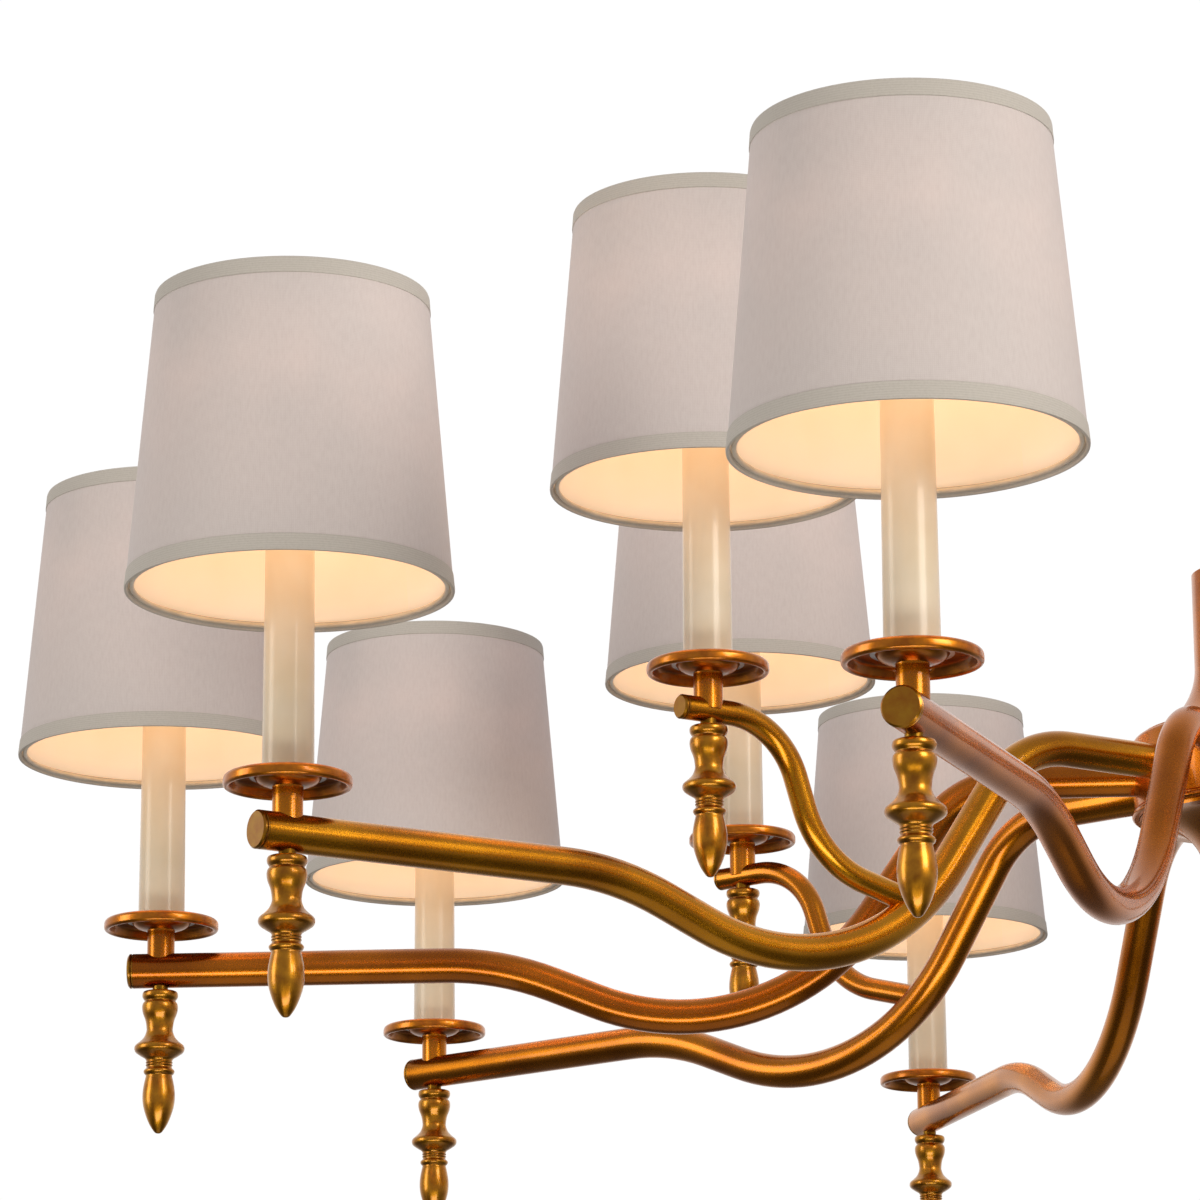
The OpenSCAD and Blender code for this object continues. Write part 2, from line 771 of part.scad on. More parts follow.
// Shade: trimmed fabric cone, a wire ring in each edge, and three spokes with the bulb clip
module shade(i) {
    ring_z = [shade_lift + wire_d, shade_top - wire_d];
    slope = (shade_bottom_r - shade_top_r) / shade_h;
    top_ring_r = shade_top_r + slope * wire_d - ring_inset;
    bottom_ring_r = shade_bottom_r - slope * wire_d - ring_inset - slope * wire_d / 2;
    bow_r = clip_r - spider_hub_r + 1;
    upright_at_lamp(i) {
        color("#e8dccb")
            rotate_extrude()
                shade_outline();
        color("#d8d0c0") {
            translate([0, 0, ring_z[0]])
                rotate_extrude()
                    translate([bottom_ring_r, 0])
                        wire_section();
            translate([0, 0, ring_z[1]])
                rotate_extrude()
                    translate([top_ring_r, 0])
                        wire_section();
            translate([0, 0, spider_z - wire_d / 2])
                cylinder(r = spider_hub_r, h = wire_d);
            for (a = [60, 180, 300])
                wire([0, 0, spider_z], [top_ring_r * cos(a), top_ring_r * sin(a), ring_z[1]]);
            for (a = [0, 90, 180, 270])
                rotate([0, 0, a])
                    translate([clip_r - bow_r, 0, spider_z])
                        tube_run([[bow_r, -90], [0, spider_z - bow_r - belly_z + 6]], wire_d);
        }
    }
}

// Bulb: screw base and a torpedo of glass
module bulb(i) {
    neck_r = bulb_base_d / 2 + 0.8;
    belly_r = bulb_d / 2;
    rise = belly_z - glass_bottom;
    fall = bulb_top - belly_z;
    facet = 10;
    upright_at_lamp(i)
        color("#fff0cc")
            rotate_extrude()
                polygon(concat(
                    [[0, bulb_bottom], [bulb_base_d / 2, bulb_bottom], [bulb_base_d / 2, glass_bottom]],
                    [for (t = [0:facet:90 - facet])
                        [neck_r + (belly_r - neck_r) * (1 - cos(2 * t)) / 2, glass_bottom + rise * t / 90]],
                    [for (t = [0:facet:90 - facet])
                        [belly_r * cos(t), belly_z + fall * sin(t)]],
                    [[0, bulb_top]]
                ));
}

hang_loop();
column_cap();
column();
hub_drum();
lower_bell();
bottom_finial();
centre_pipe();
lock_nuts();
end_plugs();
lamp_stems();
necks();
drip_cups();
lamp_sockets();
candle_sleeves();
finials();
for (i = [1:arm_count])
    main_arm(i);
for (i = [1:arm_pairs])
    branch_arm(i);
for (i = [1:lamp_count])
    shade(i);
for (i = [1:lamp_count])
    bulb(i);
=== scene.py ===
"""Looks of a hanging chandelier: bent gilt arms, turned finials and candle lamps with linen shades.

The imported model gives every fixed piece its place. New pieces are built in the same frame, in
metres, with each object at the origin and its place in its mesh.
"""

from __future__ import annotations

import logging
import math
from dataclasses import dataclass
from enum import Enum
from typing import Any, Sequence

import bmesh
import bpy
from mathutils import Matrix, Vector

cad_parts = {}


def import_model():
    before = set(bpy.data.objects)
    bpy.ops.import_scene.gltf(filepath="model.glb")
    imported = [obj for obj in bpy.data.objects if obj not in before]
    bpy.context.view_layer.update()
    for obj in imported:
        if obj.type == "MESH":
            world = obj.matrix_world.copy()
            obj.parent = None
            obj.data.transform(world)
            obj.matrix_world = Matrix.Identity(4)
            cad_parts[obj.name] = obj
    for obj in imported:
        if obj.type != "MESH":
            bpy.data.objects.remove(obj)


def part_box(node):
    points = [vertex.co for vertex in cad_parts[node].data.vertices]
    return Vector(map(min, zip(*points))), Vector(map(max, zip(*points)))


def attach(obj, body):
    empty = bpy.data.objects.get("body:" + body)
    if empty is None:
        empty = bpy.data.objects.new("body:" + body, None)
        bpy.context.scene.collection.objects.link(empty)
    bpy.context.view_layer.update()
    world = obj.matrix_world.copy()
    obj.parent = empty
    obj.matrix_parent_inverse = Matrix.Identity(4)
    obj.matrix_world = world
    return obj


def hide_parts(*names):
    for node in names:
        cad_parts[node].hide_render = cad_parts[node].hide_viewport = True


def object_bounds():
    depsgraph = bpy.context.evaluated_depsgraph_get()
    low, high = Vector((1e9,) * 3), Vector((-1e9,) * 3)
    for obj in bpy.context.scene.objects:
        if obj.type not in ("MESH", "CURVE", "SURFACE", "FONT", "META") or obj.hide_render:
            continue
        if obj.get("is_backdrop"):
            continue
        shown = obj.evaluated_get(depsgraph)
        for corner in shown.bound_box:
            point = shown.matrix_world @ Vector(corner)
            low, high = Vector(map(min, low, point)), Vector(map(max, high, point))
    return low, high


LOG = logging.getLogger("chandelier")
MM = 0.001
ARM_COUNT = 10
PAIR_COUNT = 5
LAMP_COUNT = 15
FRAME_BODY = "fixed_frame"
SHADE_SLANT_MM = 142.5
PURE_METAL = 1.0
Outline = Sequence[tuple[float, float]]
Points = list[tuple[float, float]]
Work = bmesh.types.BMesh
Piece = bpy.types.Object
Tree = bpy.types.NodeTree
Socket = bpy.types.NodeSocket


# ---------------------------------------------------------------- small helpers


def linear(hex_colour: str, alpha: float = 1.0) -> tuple[float, float, float, float]:
    """Turns an sRGB hex colour into linear values.

    Args:
        hex_colour: Six hex digits, with or without a leading #.
        alpha: Opacity to append.

    Returns:
        Linear red, green and blue, and the opacity.
    """
    digits = hex_colour.lstrip("#")
    parts = [int(digits[i : i + 2], 16) / 255 for i in (0, 2, 4)]
    r, g, b = (c / 12.92 if c <= 0.04045 else ((c + 0.055) / 1.055) ** 2.4 for c in parts)
    return (r, g, b, alpha)


def add_node(
    tree: Tree,
    kind: str,
    settings: dict[str, Any] | None = None,
    links: dict[str | int, Socket] | None = None,
) -> bpy.types.Node:
    """Adds one node, with its settings and the sockets that feed it.

    Args:
        tree: Node tree to add to.
        kind: Node type.
        settings: Input socket names, or node attributes, with their values.
        links: Input socket names or numbers, with the output that feeds each.

    Returns:
        The new node.
    """
    node = tree.nodes.new(kind)
    for name, value in (settings or {}).items():
        if hasattr(node, name):
            setattr(node, name, value)
        else:
            node.inputs[name].default_value = value
    for name, source in (links or {}).items():
        tree.links.new(source, node.inputs[name])
    return node


# ---------------------------------------------------------------- finishes


@dataclass(frozen=True)
class Nodes:
    """Node tree with the patterns and sums that finishes and the surround share."""

    tree: Tree

    def spread(
        self,
        value: Socket,
        to: tuple[float, float] = (0.0, 1.0),
        given: tuple[float, float] = (0.0, 1.0),
    ) -> Socket:
        """Maps a value from one range to another.

        Args:
            value: Value to map.
            to: Lowest and highest result.
            given: Values that give them.

        Returns:
            The mapped value.
        """
        settings = {"From Min": given[0], "From Max": given[1], "To Min": to[0], "To Max": to[1]}
        source = {"Value": value}
        return add_node(self.tree, "ShaderNodeMapRange", settings, source).outputs["Result"]

    def tones(self, source: Socket, *stops: tuple[float, str | float]) -> Socket:
        """Turns a factor into colours.

        Args:
            source: Factor to read.
            stops: Positions, each with an sRGB hex colour or a linear grey.

        Returns:
            The colour.
        """
        node = add_node(self.tree, "ShaderNodeValToRGB", links={"Fac": source})
        elements = node.color_ramp.elements
        while len(elements) < len(stops):
            elements.new(0.5)
        for element, (position, tone) in zip(elements, stops):
            element.position = position
            element.color = linear(tone) if isinstance(tone, str) else (tone, tone, tone, 1.0)
        return node.outputs["Color"]

    def split(self, source: Socket, axis: str) -> Socket:
        """Takes one coordinate out of three."""
        return add_node(
            self.tree, "ShaderNodeSeparateXYZ", links={"Vector": source}
        ).outputs[axis]


@dataclass(frozen=True)
class Look(Nodes):
    """A material being built: its shader, and where a point lies on the piece or its pattern."""

    shader: bpy.types.Node
    where: Socket
    flat: Socket

    def noise(
        self, size_mm: float, detail: float = 2.0, roughness: float = 0.5, at: Socket | None = None
    ) -> Socket:
        """Adds cloudy noise.

        Args:
            size_mm: Rough size of a cloud.
            detail: Number of finer layers.
            roughness: Strength of the finer layers.
            at: Coordinates to read instead of the object's own.

        Returns:
            The noise, from 0 to 1.
        """
        settings = {"Scale": 1 / (size_mm * MM), "Detail": detail, "Roughness": roughness}
        source = {"Vector": self.where if at is None else at}
        return add_node(self.tree, "ShaderNodeTexNoise", settings, source).outputs["Fac"]

    def stretched(self, source: Socket, scale: tuple[float, float, float]) -> Socket:
        """Scales coordinates, so that a pattern that reads them is stretched."""
        return add_node(
            self.tree, "ShaderNodeMapping", {"Scale": scale}, {"Vector": source}
        ).outputs["Vector"]

    def ribs(self, along: str, pitch_mm: float, wobble: float, wobble_scale: float = 1.0) -> Socket:
        """Adds wobbly ribs on the flat pattern.

        Args:
            along: Axis that the ribs follow one another on.
            pitch_mm: Distance from rib to rib.
            wobble: How far they wander.
            wobble_scale: How finely they wander.

        Returns:
            The ribs, from 0 to 1.
        """
        settings = {
            "bands_direction": along,
            "Scale": math.pi / (10 * pitch_mm * MM),
            "Distortion": wobble,
            "Detail": 1.0,
            "Detail Scale": wobble_scale,
        }
        return add_node(
            self.tree, "ShaderNodeTexWave", settings, {"Vector": self.flat}
        ).outputs["Fac"]

    def sum_of(self, value: Socket, share: float, rest: Socket, clamp: bool = False) -> Socket:
        """Adds a share of one value to another."""
        settings = {"operation": "MULTIPLY_ADD", "use_clamp": clamp}
        node = add_node(self.tree, "ShaderNodeMath", settings, {0: value, 2: rest})
        node.inputs[1].default_value = share
        return node.outputs[0]

    def combine(self, operation: str, first: Socket, second: Socket | float) -> Socket:
        """Works out one value from two.

        Args:
            operation: What to do with them.
            first: First value.
            second: Second value, or a number.

        Returns:
            The result.
        """
        node = add_node(self.tree, "ShaderNodeMath", {"operation": operation}, {0: first})
        if isinstance(second, Socket):
            self.tree.links.new(second, node.inputs[1])
        else:
            node.inputs[1].default_value = second
        return node.outputs[0]

    def blend(self, factor: Socket, first: Socket | str, second: Socket | str) -> Socket:
        """Blends two colours.

        Args:
            factor: Share of the second colour.
            first: First colour, or its sRGB hex digits.
            second: Second colour, or its sRGB hex digits.

        Returns:
            The blend.
        """
        node = add_node(self.tree, "ShaderNodeMix", {"data_type": "RGBA"}, {"Factor": factor})
        for number, colour in ((6, first), (7, second)):
            if isinstance(colour, str):
                node.inputs[number].default_value = linear(colour)
            else:
                self.tree.links.new(colour, node.inputs[number])
        return node.outputs[2]

    def relief(self, height: Socket, strength: float, depth_mm: float) -> Socket:
        """Turns a pattern into a bumpy normal."""
        settings = {"Strength": strength, "Distance": depth_mm * MM}
        return add_node(
            self.tree, "ShaderNodeBump", settings, {"Height": height}
        ).outputs["Normal"]

    def put(self, values: dict[str, Socket | float | str]) -> None:
        """Sets the shader's inputs.

        Args:
            values: Input names with what feeds each: a socket, a number or sRGB hex digits.
        """
        for name, value in values.items():
            if isinstance(value, Socket):
                self.tree.links.new(value, self.shader.inputs[name])
            else:
                plain = linear(value) if isinstance(value, str) else value
                self.shader.inputs[name].default_value = plain


@dataclass(frozen=True)
class Finish:
    """A surface finish, which builds its material once."""

    name: str
    slot: str

    def material(self) -> bpy.types.Material:
        """Returns the finish's material, building it on first use."""
        known = bpy.data.materials.get(self.name)
        if known:
            return known
        made = bpy.data.materials.new(self.name)
        made.use_nodes = True
        tree = made.node_tree
        tree.nodes.clear()
        shader = add_node(tree, "ShaderNodeBsdfPrincipled")
        add_node(tree, "ShaderNodeOutputMaterial", links={"Surface": shader.outputs["BSDF"]})
        coords = add_node(tree, "ShaderNodeTexCoord").outputs
        self.dress(Look(tree, shader, coords["Object"], coords["UV"]))
        return made

    def dress(self, look: Look) -> None:
        """Sets the shader's values and patterns.

        Args:
            look: The material being built.
        """
        raise NotImplementedError


@dataclass(frozen=True)
class GiltLacquer(Finish):
    """Bronze powder sprayed on steel under clear lacquer: deep colour, soft glints, a wet gloss."""

    body: str
    deep: str
    roughness: float = 0.27
    grain_mm: float = 0.7
    patch_mm: float = 45.0

    def dress(self, look: Look) -> None:
        """Mixes powder grain and slow colour drift under the lacquer."""
        drift = look.noise(self.patch_mm)
        # The powder's grain is finer than 0.1 mm, and is drawn coarse enough to show.
        grain = look.noise(self.grain_mm, 1.0, 0.7)
        tone = look.sum_of(grain, 0.35, drift, clamp=True)
        look.put(
            {
                "Base Color": look.tones(tone, (0.35, self.deep), (0.85, self.body)),
                "Roughness": look.spread(grain, (self.roughness - 0.05, self.roughness + 0.07)),
                "Normal": look.relief(grain, 0.12, 0.04),
                "Metallic": PURE_METAL,
                "Coat Weight": 0.4,
                "Coat Roughness": 0.05,
                "Coat IOR": 1.5,
            }
        )


@dataclass(frozen=True)
class GrooveShadedBrass(Finish):
    """Turned brass with a mottled polish and painted shade darkening its grooves: bright crowns,
    dark necks.
    """

    body: str = "#d9991f"
    # Colour of the painted shade in the grooves and recesses.
    groove_shade: str = "#3a1e04"
    worn: str = "#b06e0e"
    groove_mm: float = 2.5
    mottle_mm: float = 6.0

    def dress(self, look: Look) -> None:
        """Paints shade into the grooves from ambient occlusion, and mottles the polish."""
        mottle = look.noise(self.mottle_mm, 4.0, 0.6)
        groove = {"Distance": self.groove_mm * MM, "samples": 6}
        # Ambient occlusion darkens grooves and recesses: this is painted shade.
        hollow = add_node(look.tree, "ShaderNodeAmbientOcclusion", groove)
        crown = look.spread(hollow.outputs["AO"], given=(0.45, 0.95))
        polish = look.tones(mottle, (0.3, self.worn), (0.7, self.body))
        look.put(
            {
                "Base Color": look.blend(crown, self.groove_shade, polish),
                "Roughness": look.spread(mottle, (0.24, 0.4)),
                "Normal": look.relief(mottle, 0.15, 0.05),
                "Metallic": PURE_METAL,
                "Coat Weight": 0.6,
                "Coat Roughness": 0.12,
            }
        )


@dataclass(frozen=True)
class Clouded(Finish):
    """A plain finish whose colour drifts between two near tones."""

    body: str
    dull: str
    roughness: float
    cloud_mm: float = 4.0
    layers: float = 2.0
    metallic: float = 0.0

    def dress(self, look: Look) -> None:
        """Clouds the colour."""
        cloud = look.noise(self.cloud_mm, self.layers)
        look.put(
            {
                "Base Color": look.tones(cloud, (0.3, self.dull), (0.7, self.body)),
                "Roughness": self.roughness,
                "Metallic": self.metallic,
            }
        )


@dataclass(frozen=True)
class IvoryCandle(Finish):
    """Extruded ivory plastic: semi-gloss, faint draw lines, and warm where the bulb is near."""

    body: str = "#f3ead6"
    dull: str = "#ece0c6"
    glow: str = "#f2ac68"
    glow_strength: float = 0.26
    line_mm: float = 1.2
    cloud_mm: float = 25.0

    def dress(self, look: Look) -> None:
        """Draws the die lines along the cover, and lets the bulb's light soak into its top."""
        lines = look.noise(self.line_mm, at=look.stretched(look.where, (1.0, 1.0, 0.02)))
        cloud = look.noise(self.cloud_mm)
        glow = look.spread(look.split(look.flat, "Y"), (0.0, self.glow_strength), (0.25, 1.0))
        look.put(
            {
                "Base Color": look.tones(cloud, (0.3, self.dull), (0.7, self.body)),
                "Normal": look.relief(lines, 0.12, 0.05),
                "Emission Strength": glow,
                "Emission Color": self.glow,
                "Roughness": 0.3,
                "IOR": 1.5,
                "Coat Weight": 0.35,
                "Coat Roughness": 0.12,
            }
        )


@dataclass(frozen=True)
class ShadeLinen(Finish):
    """Fine white linen laminated on a stiff sheet: an even weave with slubs, blushing where lit."""

    warp: str = "#e9e3e4"
    weft: str = "#e1dadb"
    glow: str = "#e6b09a"
    glow_strength: float = 0.09
    thread_mm: float = 0.8
    slub_mm: float = 1.6
    cloud_mm: float = 40.0

    def dress(self, look: Look) -> None:
        """Weaves the cloth on the shade's flat pattern, whose UV units are metres."""
        # The thread is about 0.4 mm, and is drawn twice as coarse so that it shows.
        warp, weft = (look.ribs(axis, self.thread_mm, 1.2, 0.6) for axis in ("X", "Y"))
        long_way = look.stretched(look.flat, (1.0, 0.3, 1.0))
        slub = look.noise(self.slub_mm, 3.0, 0.6, at=long_way)
        tone = look.sum_of(look.combine("MULTIPLY", warp, weft), 0.4, slub)
        up = look.spread(look.split(look.flat, "Y"), given=(0.0, SHADE_SLANT_MM * MM))
        # Light comes through most at the bulb's height, and fades to both edges.
        lit = look.tones(up, (0.05, 0.1), (0.62, 1.0), (1.0, 0.35))
        patchy = look.combine("MULTIPLY", lit, look.noise(self.cloud_mm, at=look.flat))
        look.put(
            {
                "Base Color": look.tones(tone, (0.35, self.weft), (0.8, self.warp)),
                "Emission Strength": look.combine("MULTIPLY", patchy, 2 * self.glow_strength),
                "Normal": look.relief(tone, 0.25, 0.08),
                "Emission Color": self.glow,
                "Roughness": 0.85,
                "Sheen Weight": 0.15,
                "Sheen Roughness": 0.5,
            }
        )


@dataclass(frozen=True)
class ShadeLining(Finish):
    """Warm white styrene lining, lit by the bulb: creamy below and peach further up."""

    body: str = "#f3e5d3"
    dull: str = "#eadbc2"
    low_glow: str = "#f7e0c6"
    high_glow: str = "#ffbd8c"
    glow_strength: float = 0.37
    seam: str = "#d9784e"
    seam_w_mm: float = 0.7
    cloud_mm: float = 50.0

    def dress(self, look: Look) -> None:
        """Shades the light up the lining, clouds it a little and darkens the glued seam."""
        up = look.spread(look.split(look.flat, "Y"), given=(0.0, SHADE_SLANT_MM * MM))
        glow = look.tones(up, (0.04, self.low_glow), (0.5, self.high_glow))
        cloud = look.noise(self.cloud_mm, at=look.flat)
        colour = look.tones(cloud, (0.3, self.dull), (0.7, self.body))
        at_seam = look.combine("LESS_THAN", look.split(look.flat, "X"), self.seam_w_mm * MM)
        strength = (0.9 * self.glow_strength, 1.1 * self.glow_strength)
        look.put(
            {
                "Base Color": look.blend(at_seam, colour, self.seam),
                "Emission Color": look.blend(at_seam, glow, self.seam),
                "Emission Strength": look.spread(cloud, strength),
                "Roughness": 0.7,
            }
        )


@dataclass(frozen=True)
class TrimTape(Finish):
    """Woven cotton edging tape, a cooler cream than the linen, with fine lengthways ribs."""

    body: str = "#dbd8d3"
    dull: str = "#cdcac4"
    rib_mm: float = 1.1
    fuzz_mm: float = 1.3

    def dress(self, look: Look) -> None:
        """Ribs the tape."""
        fuzz = look.noise(self.fuzz_mm, 3.0, 0.7, at=look.flat)
        tone = look.sum_of(look.ribs("Y", self.rib_mm, 0.6), 0.3, fuzz)
        look.put(
            {
                "Base Color": look.tones(tone, (0.3, self.dull), (0.85, self.body)),
                "Normal": look.relief(tone, 0.35, 0.12),
                "Roughness": 0.9,
            }
        )


@dataclass(frozen=True)
class LitGlass(Finish):
    """Frosted bulb glass with its lamp lit: warm white, brightest round the filament."""

    body: str = "#fff4e0"
    glow: str = "#ffd9a0"
    strength: float = 3.0
    neck_strength: float = 0.2

    def dress(self, look: Look) -> None:
        """Fades the light from the filament's level to the neck."""
        strength = (self.neck_strength, self.strength)
        look.put(
            {
                "Emission Strength": look.spread(look.split(look.flat, "Y"), strength, (0.15, 0.5)),
                "Base Color": self.body,
                "Emission Color": self.glow,
                "Roughness": 0.4,
            }
        )


class GiltLightTint(Enum):
    """Copies of one lacquer in three tints, each standing in for the light and reflections a piece
    catches: painted light.
    """

    GOLD = ("gilt_lacquer_gold", "#e69f1c", "#b06a06")
    AMBER = ("gilt_lacquer_amber", "#e08c18", "#a45a06")
    COPPER = ("gilt_lacquer_copper", "#da7f18", "#9a4e06")

    def finish(self) -> GiltLacquer:
        """Returns the lacquer in this tint."""
        name, body, deep = self.value
        return GiltLacquer(name, "gilt_metal", body, deep)


BRASS = GrooveShadedBrass("groove_shaded_turned_brass", "turned_brass")
# Flat faces get little painted shade, so the plugs look dull gold with a thin dark rim of painted
# shade.
PLUG_BRASS = GrooveShadedBrass(
    "rim_shaded_plug_brass", "gilt_metal", body="#c08c1e", groove_shade="#6a4410", groove_mm=0.8
)
# The pressed cup is bright on its rim, and painted near black with shade in the recess under it.
CUP_BRASS = GrooveShadedBrass(
    "gilt_pressed_cup",
    "gilt_metal",
    body="#dd8a18",
    worn="#b4620a",
    groove_shade="#2e1803",
    groove_mm=9.0,
)
# Zinc plate is a cloudy grey, and brass plate on the lamp pipes is a dull yellow.
STEEL = Clouded("zinc_plated_steel", "bare_steel", "#b9b39c", "#8f8a78", 0.35, 4.0, 3.0, PURE_METAL)
PIPE = Clouded("brass_plated_pipe", "bare_steel", "#a87c28", "#7c5614", 0.35, 4.0, 3.0, PURE_METAL)
WASHER = Clouded("zinc_washer", "gilt_metal", "#d8d2cc", "#b5aca6", 0.35, 4.0, 3.0, PURE_METAL)
# Phenolic is near black, and mottled by its wood-flour filler.
PHENOLIC = Clouded("moulded_phenolic", "socket_plastic", "#2a221a", "#1c1611", 0.5, 1.5, 3.0)
IVORY = IvoryCandle("ivory_candle_cover", "candle_plastic")
LINEN = ShadeLinen("laminated_linen", "shade_fabric")
LINING = ShadeLining("styrene_lining", "shade_fabric")
TAPE = TrimTape("cotton_edging_tape", "shade_fabric")
# Wire dipped in white enamel has a soft gloss and an uneven cream tone.
WIRE = Clouded("enamelled_wire", "shade_fabric", "#e9e2d4", "#d8cfbf", 0.35, 8.0)
GLASS = LitGlass("frosted_lit_glass", "bulb_glass")
# Rolled brass of a screw base dulls in patches.
SCREW_BRASS = Clouded(
    "rolled_screw_brass", "bulb_glass", "#b99a58", "#8f7440", 0.3, 5.0, metallic=PURE_METAL
)
# Floor paint is pale and matt, with a faint mottle from the roller.
FLOOR = Clouded("painted_floor", "", "#cfccc6", "#c8c5bf", 0.8, 1000 / 3)


# ---------------------------------------------------------------- mesh tools


def finish_object(
    name: str, work: Work, finishes: Sequence[Finish], smooth_deg: float = 35.0
) -> Piece:
    """Turns a bmesh into an object at the origin with its materials.

    Args:
        name: Object name.
        work: Bmesh, which is freed.
        finishes: Finishes in material order.
        smooth_deg: Edges sharper than this stay crisp.

    Returns:
        The new object.
    """
    for face in work.faces:
        face.smooth = True
    limit = math.radians(smooth_deg)
    for edge in work.edges:
        edge.smooth = len(edge.link_faces) != 2 or edge.calc_face_angle(0.0) < limit
    mesh = bpy.data.meshes.new(name)
    work.to_mesh(mesh)
    work.free()
    made = bpy.data.objects.new(name, mesh)
    bpy.context.scene.collection.objects.link(made)
    for finish in finishes:
        mesh.materials.append(finish.material())
    LOG.info("built %s", name)
    return made


MERGE_DISTANCE = 1e-6


def spun(work: Work, outline: Outline, steps: int) -> list[bmesh.types.BMFace]:
    """Spins an outline a full turn about Z.

    Args:
        work: Bmesh to add to.
        outline: Radius and height of each point, in metres.
        steps: Faces round the turn.

    Returns:
        The new faces.
    """
    before = set(work.faces)
    points = [work.verts.new((r, 0.0, z)) for r, z in outline]
    edges = [work.edges.new(pair) for pair in zip(points, points[1:])]
    turn = {"cent": (0, 0, 0), "axis": (0, 0, 1), "angle": 2 * math.pi, "steps": steps}
    bmesh.ops.spin(work, geom=points + edges, use_merge=True, **turn)
    bmesh.ops.remove_doubles(work, verts=work.verts[:], dist=MERGE_DISTANCE)
    made = [f for f in work.faces if f not in before]
    bmesh.ops.recalc_face_normals(work, faces=made)
    return made


def add_height_uv(work: Work, low: float, high: float) -> None:
    """Adds a UV whose V runs from 0 at one height to 1 at another.

    Args:
        work: Bmesh to dress.
        low: Height where V is 0.
        high: Height where V is 1.
    """
    layer = work.loops.layers.uv.verify()
    for face in work.faces:
        for loop in face.loops:
            loop[layer].uv = (0.0, (loop.vert.co.z - low) / (high - low))


@dataclass(frozen=True)
class Straight:
    """A straight stretch of tube, in millimetres."""

    length: float


@dataclass(frozen=True)
class Bend:
    """A bend of tube in its vertical plane: radius in millimetres, and degrees, upward positive."""

    radius: float
    degrees: float


Steps = Sequence[Straight | Bend]
DEGREES_A_FACE = 3
FEWEST_FACES = 4


def bent_tube(work: Work, steps: Steps, diameter: float, sides: int) -> None:
    """Sweeps a capped tube from the origin along +X, one step after another.

    Args:
        work: Bmesh to add to.
        steps: Straights and bends, in order.
        diameter: Tube diameter in millimetres.
        sides: Faces round the tube.
    """
    turn = Matrix.Rotation(math.pi / 2, 4, "Y")
    ring = bmesh.ops.create_circle(
        work, cap_ends=True, segments=sides, radius=diameter / 2 * MM, matrix=turn
    )["verts"]
    rim = list({e for v in ring for e in v.link_edges})
    here, heading = Vector(), 0.0
    for step in steps:
        along = Vector((math.cos(heading), 0, math.sin(heading)))
        if isinstance(step, Straight):
            made = bmesh.ops.extrude_edge_only(work, edges=rim)["geom"]
            moved = [g for g in made if isinstance(g, bmesh.types.BMVert)]
            bmesh.ops.translate(work, vec=along * step.length * MM, verts=moved)
            edges = [g for g in made if isinstance(g, bmesh.types.BMEdge)]
            rim = [e for e in edges if all(v in moved for v in e.verts)]
            here += along * step.length * MM
            continue
        side = math.copysign(1.0, step.degrees)
        up = Vector((-math.sin(heading), 0, math.cos(heading)))
        centre = here + up * side * step.radius * MM
        angle = math.radians(step.degrees)
        count = max(FEWEST_FACES, math.ceil(abs(step.degrees) / DEGREES_A_FACE))
        made = bmesh.ops.spin(
            work, geom=rim, cent=centre, axis=(0, -1, 0), angle=angle, steps=count
        )["geom_last"]
        rim = [e for e in made if isinstance(e, bmesh.types.BMEdge)]
        here = centre + Matrix.Rotation(-angle, 3, "Y") @ (here - centre)
        heading += angle
    bmesh.ops.holes_fill(work, edges=rim, sides=0)
    bmesh.ops.remove_doubles(work, verts=work.verts[:], dist=MERGE_DISTANCE / 10)
    bmesh.ops.recalc_face_normals(work, faces=work.faces[:])


def arc_points(
    centre: tuple[float, float], radius: float, start: float, end: float, count: int
) -> Points:
    """Points on an arc of an outline.

    Args:
        centre: Radius and height of the arc's centre.
        radius: Arc radius.
        start: First angle in degrees, from outward and turning up.
        end: Last angle in degrees.
        count: Number of points.

    Returns:
        The points in order.
    """
    angles = [math.radians(start + (end - start) * i / (count - 1)) for i in range(count)]
    return [(centre[0] + radius * math.cos(a), centre[1] + radius * math.sin(a)) for a in angles]


def scaled(outline: Outline) -> Points:
    """Turns an outline in millimetres into metres."""
    return [(r * MM, z * MM) for r, z in outline]


def foot_of(node: str) -> Vector:
    """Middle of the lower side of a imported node's box."""
    low, high = (Vector(corner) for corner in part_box(node))
    return Vector(((low.x + high.x) / 2, (low.y + high.y) / 2, low.z))


# ---------------------------------------------------------------- sub-assemblies


@dataclass
class CarriedMetal:
    """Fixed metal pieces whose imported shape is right: a smooth-shaded copy stands for each."""

    finishes: dict[str, Finish]
    smooth_deg: float = 28.0
    merge_mm: float = 0.002

    def build(self) -> None:
        """Copies, merges and dresses each node."""
        for node, finish in self.finishes.items():
            work = bmesh.new()
            work.from_mesh(bpy.data.objects[node].data)
            bmesh.ops.remove_doubles(work, verts=work.verts[:], dist=self.merge_mm * MM)
            piece = finish_object(f"{node}_smooth", work, [finish], self.smooth_deg)
            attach(piece, FRAME_BODY)
            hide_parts(node)


@dataclass
class HiddenFittings:
    """Pipes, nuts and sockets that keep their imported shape."""

    finishes: dict[str, Finish]

    def build(self) -> None:
        """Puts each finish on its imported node."""
        for node, finish in self.finishes.items():
            mesh = bpy.data.objects[node].data
            mesh.materials.clear()
            mesh.materials.append(finish.material())


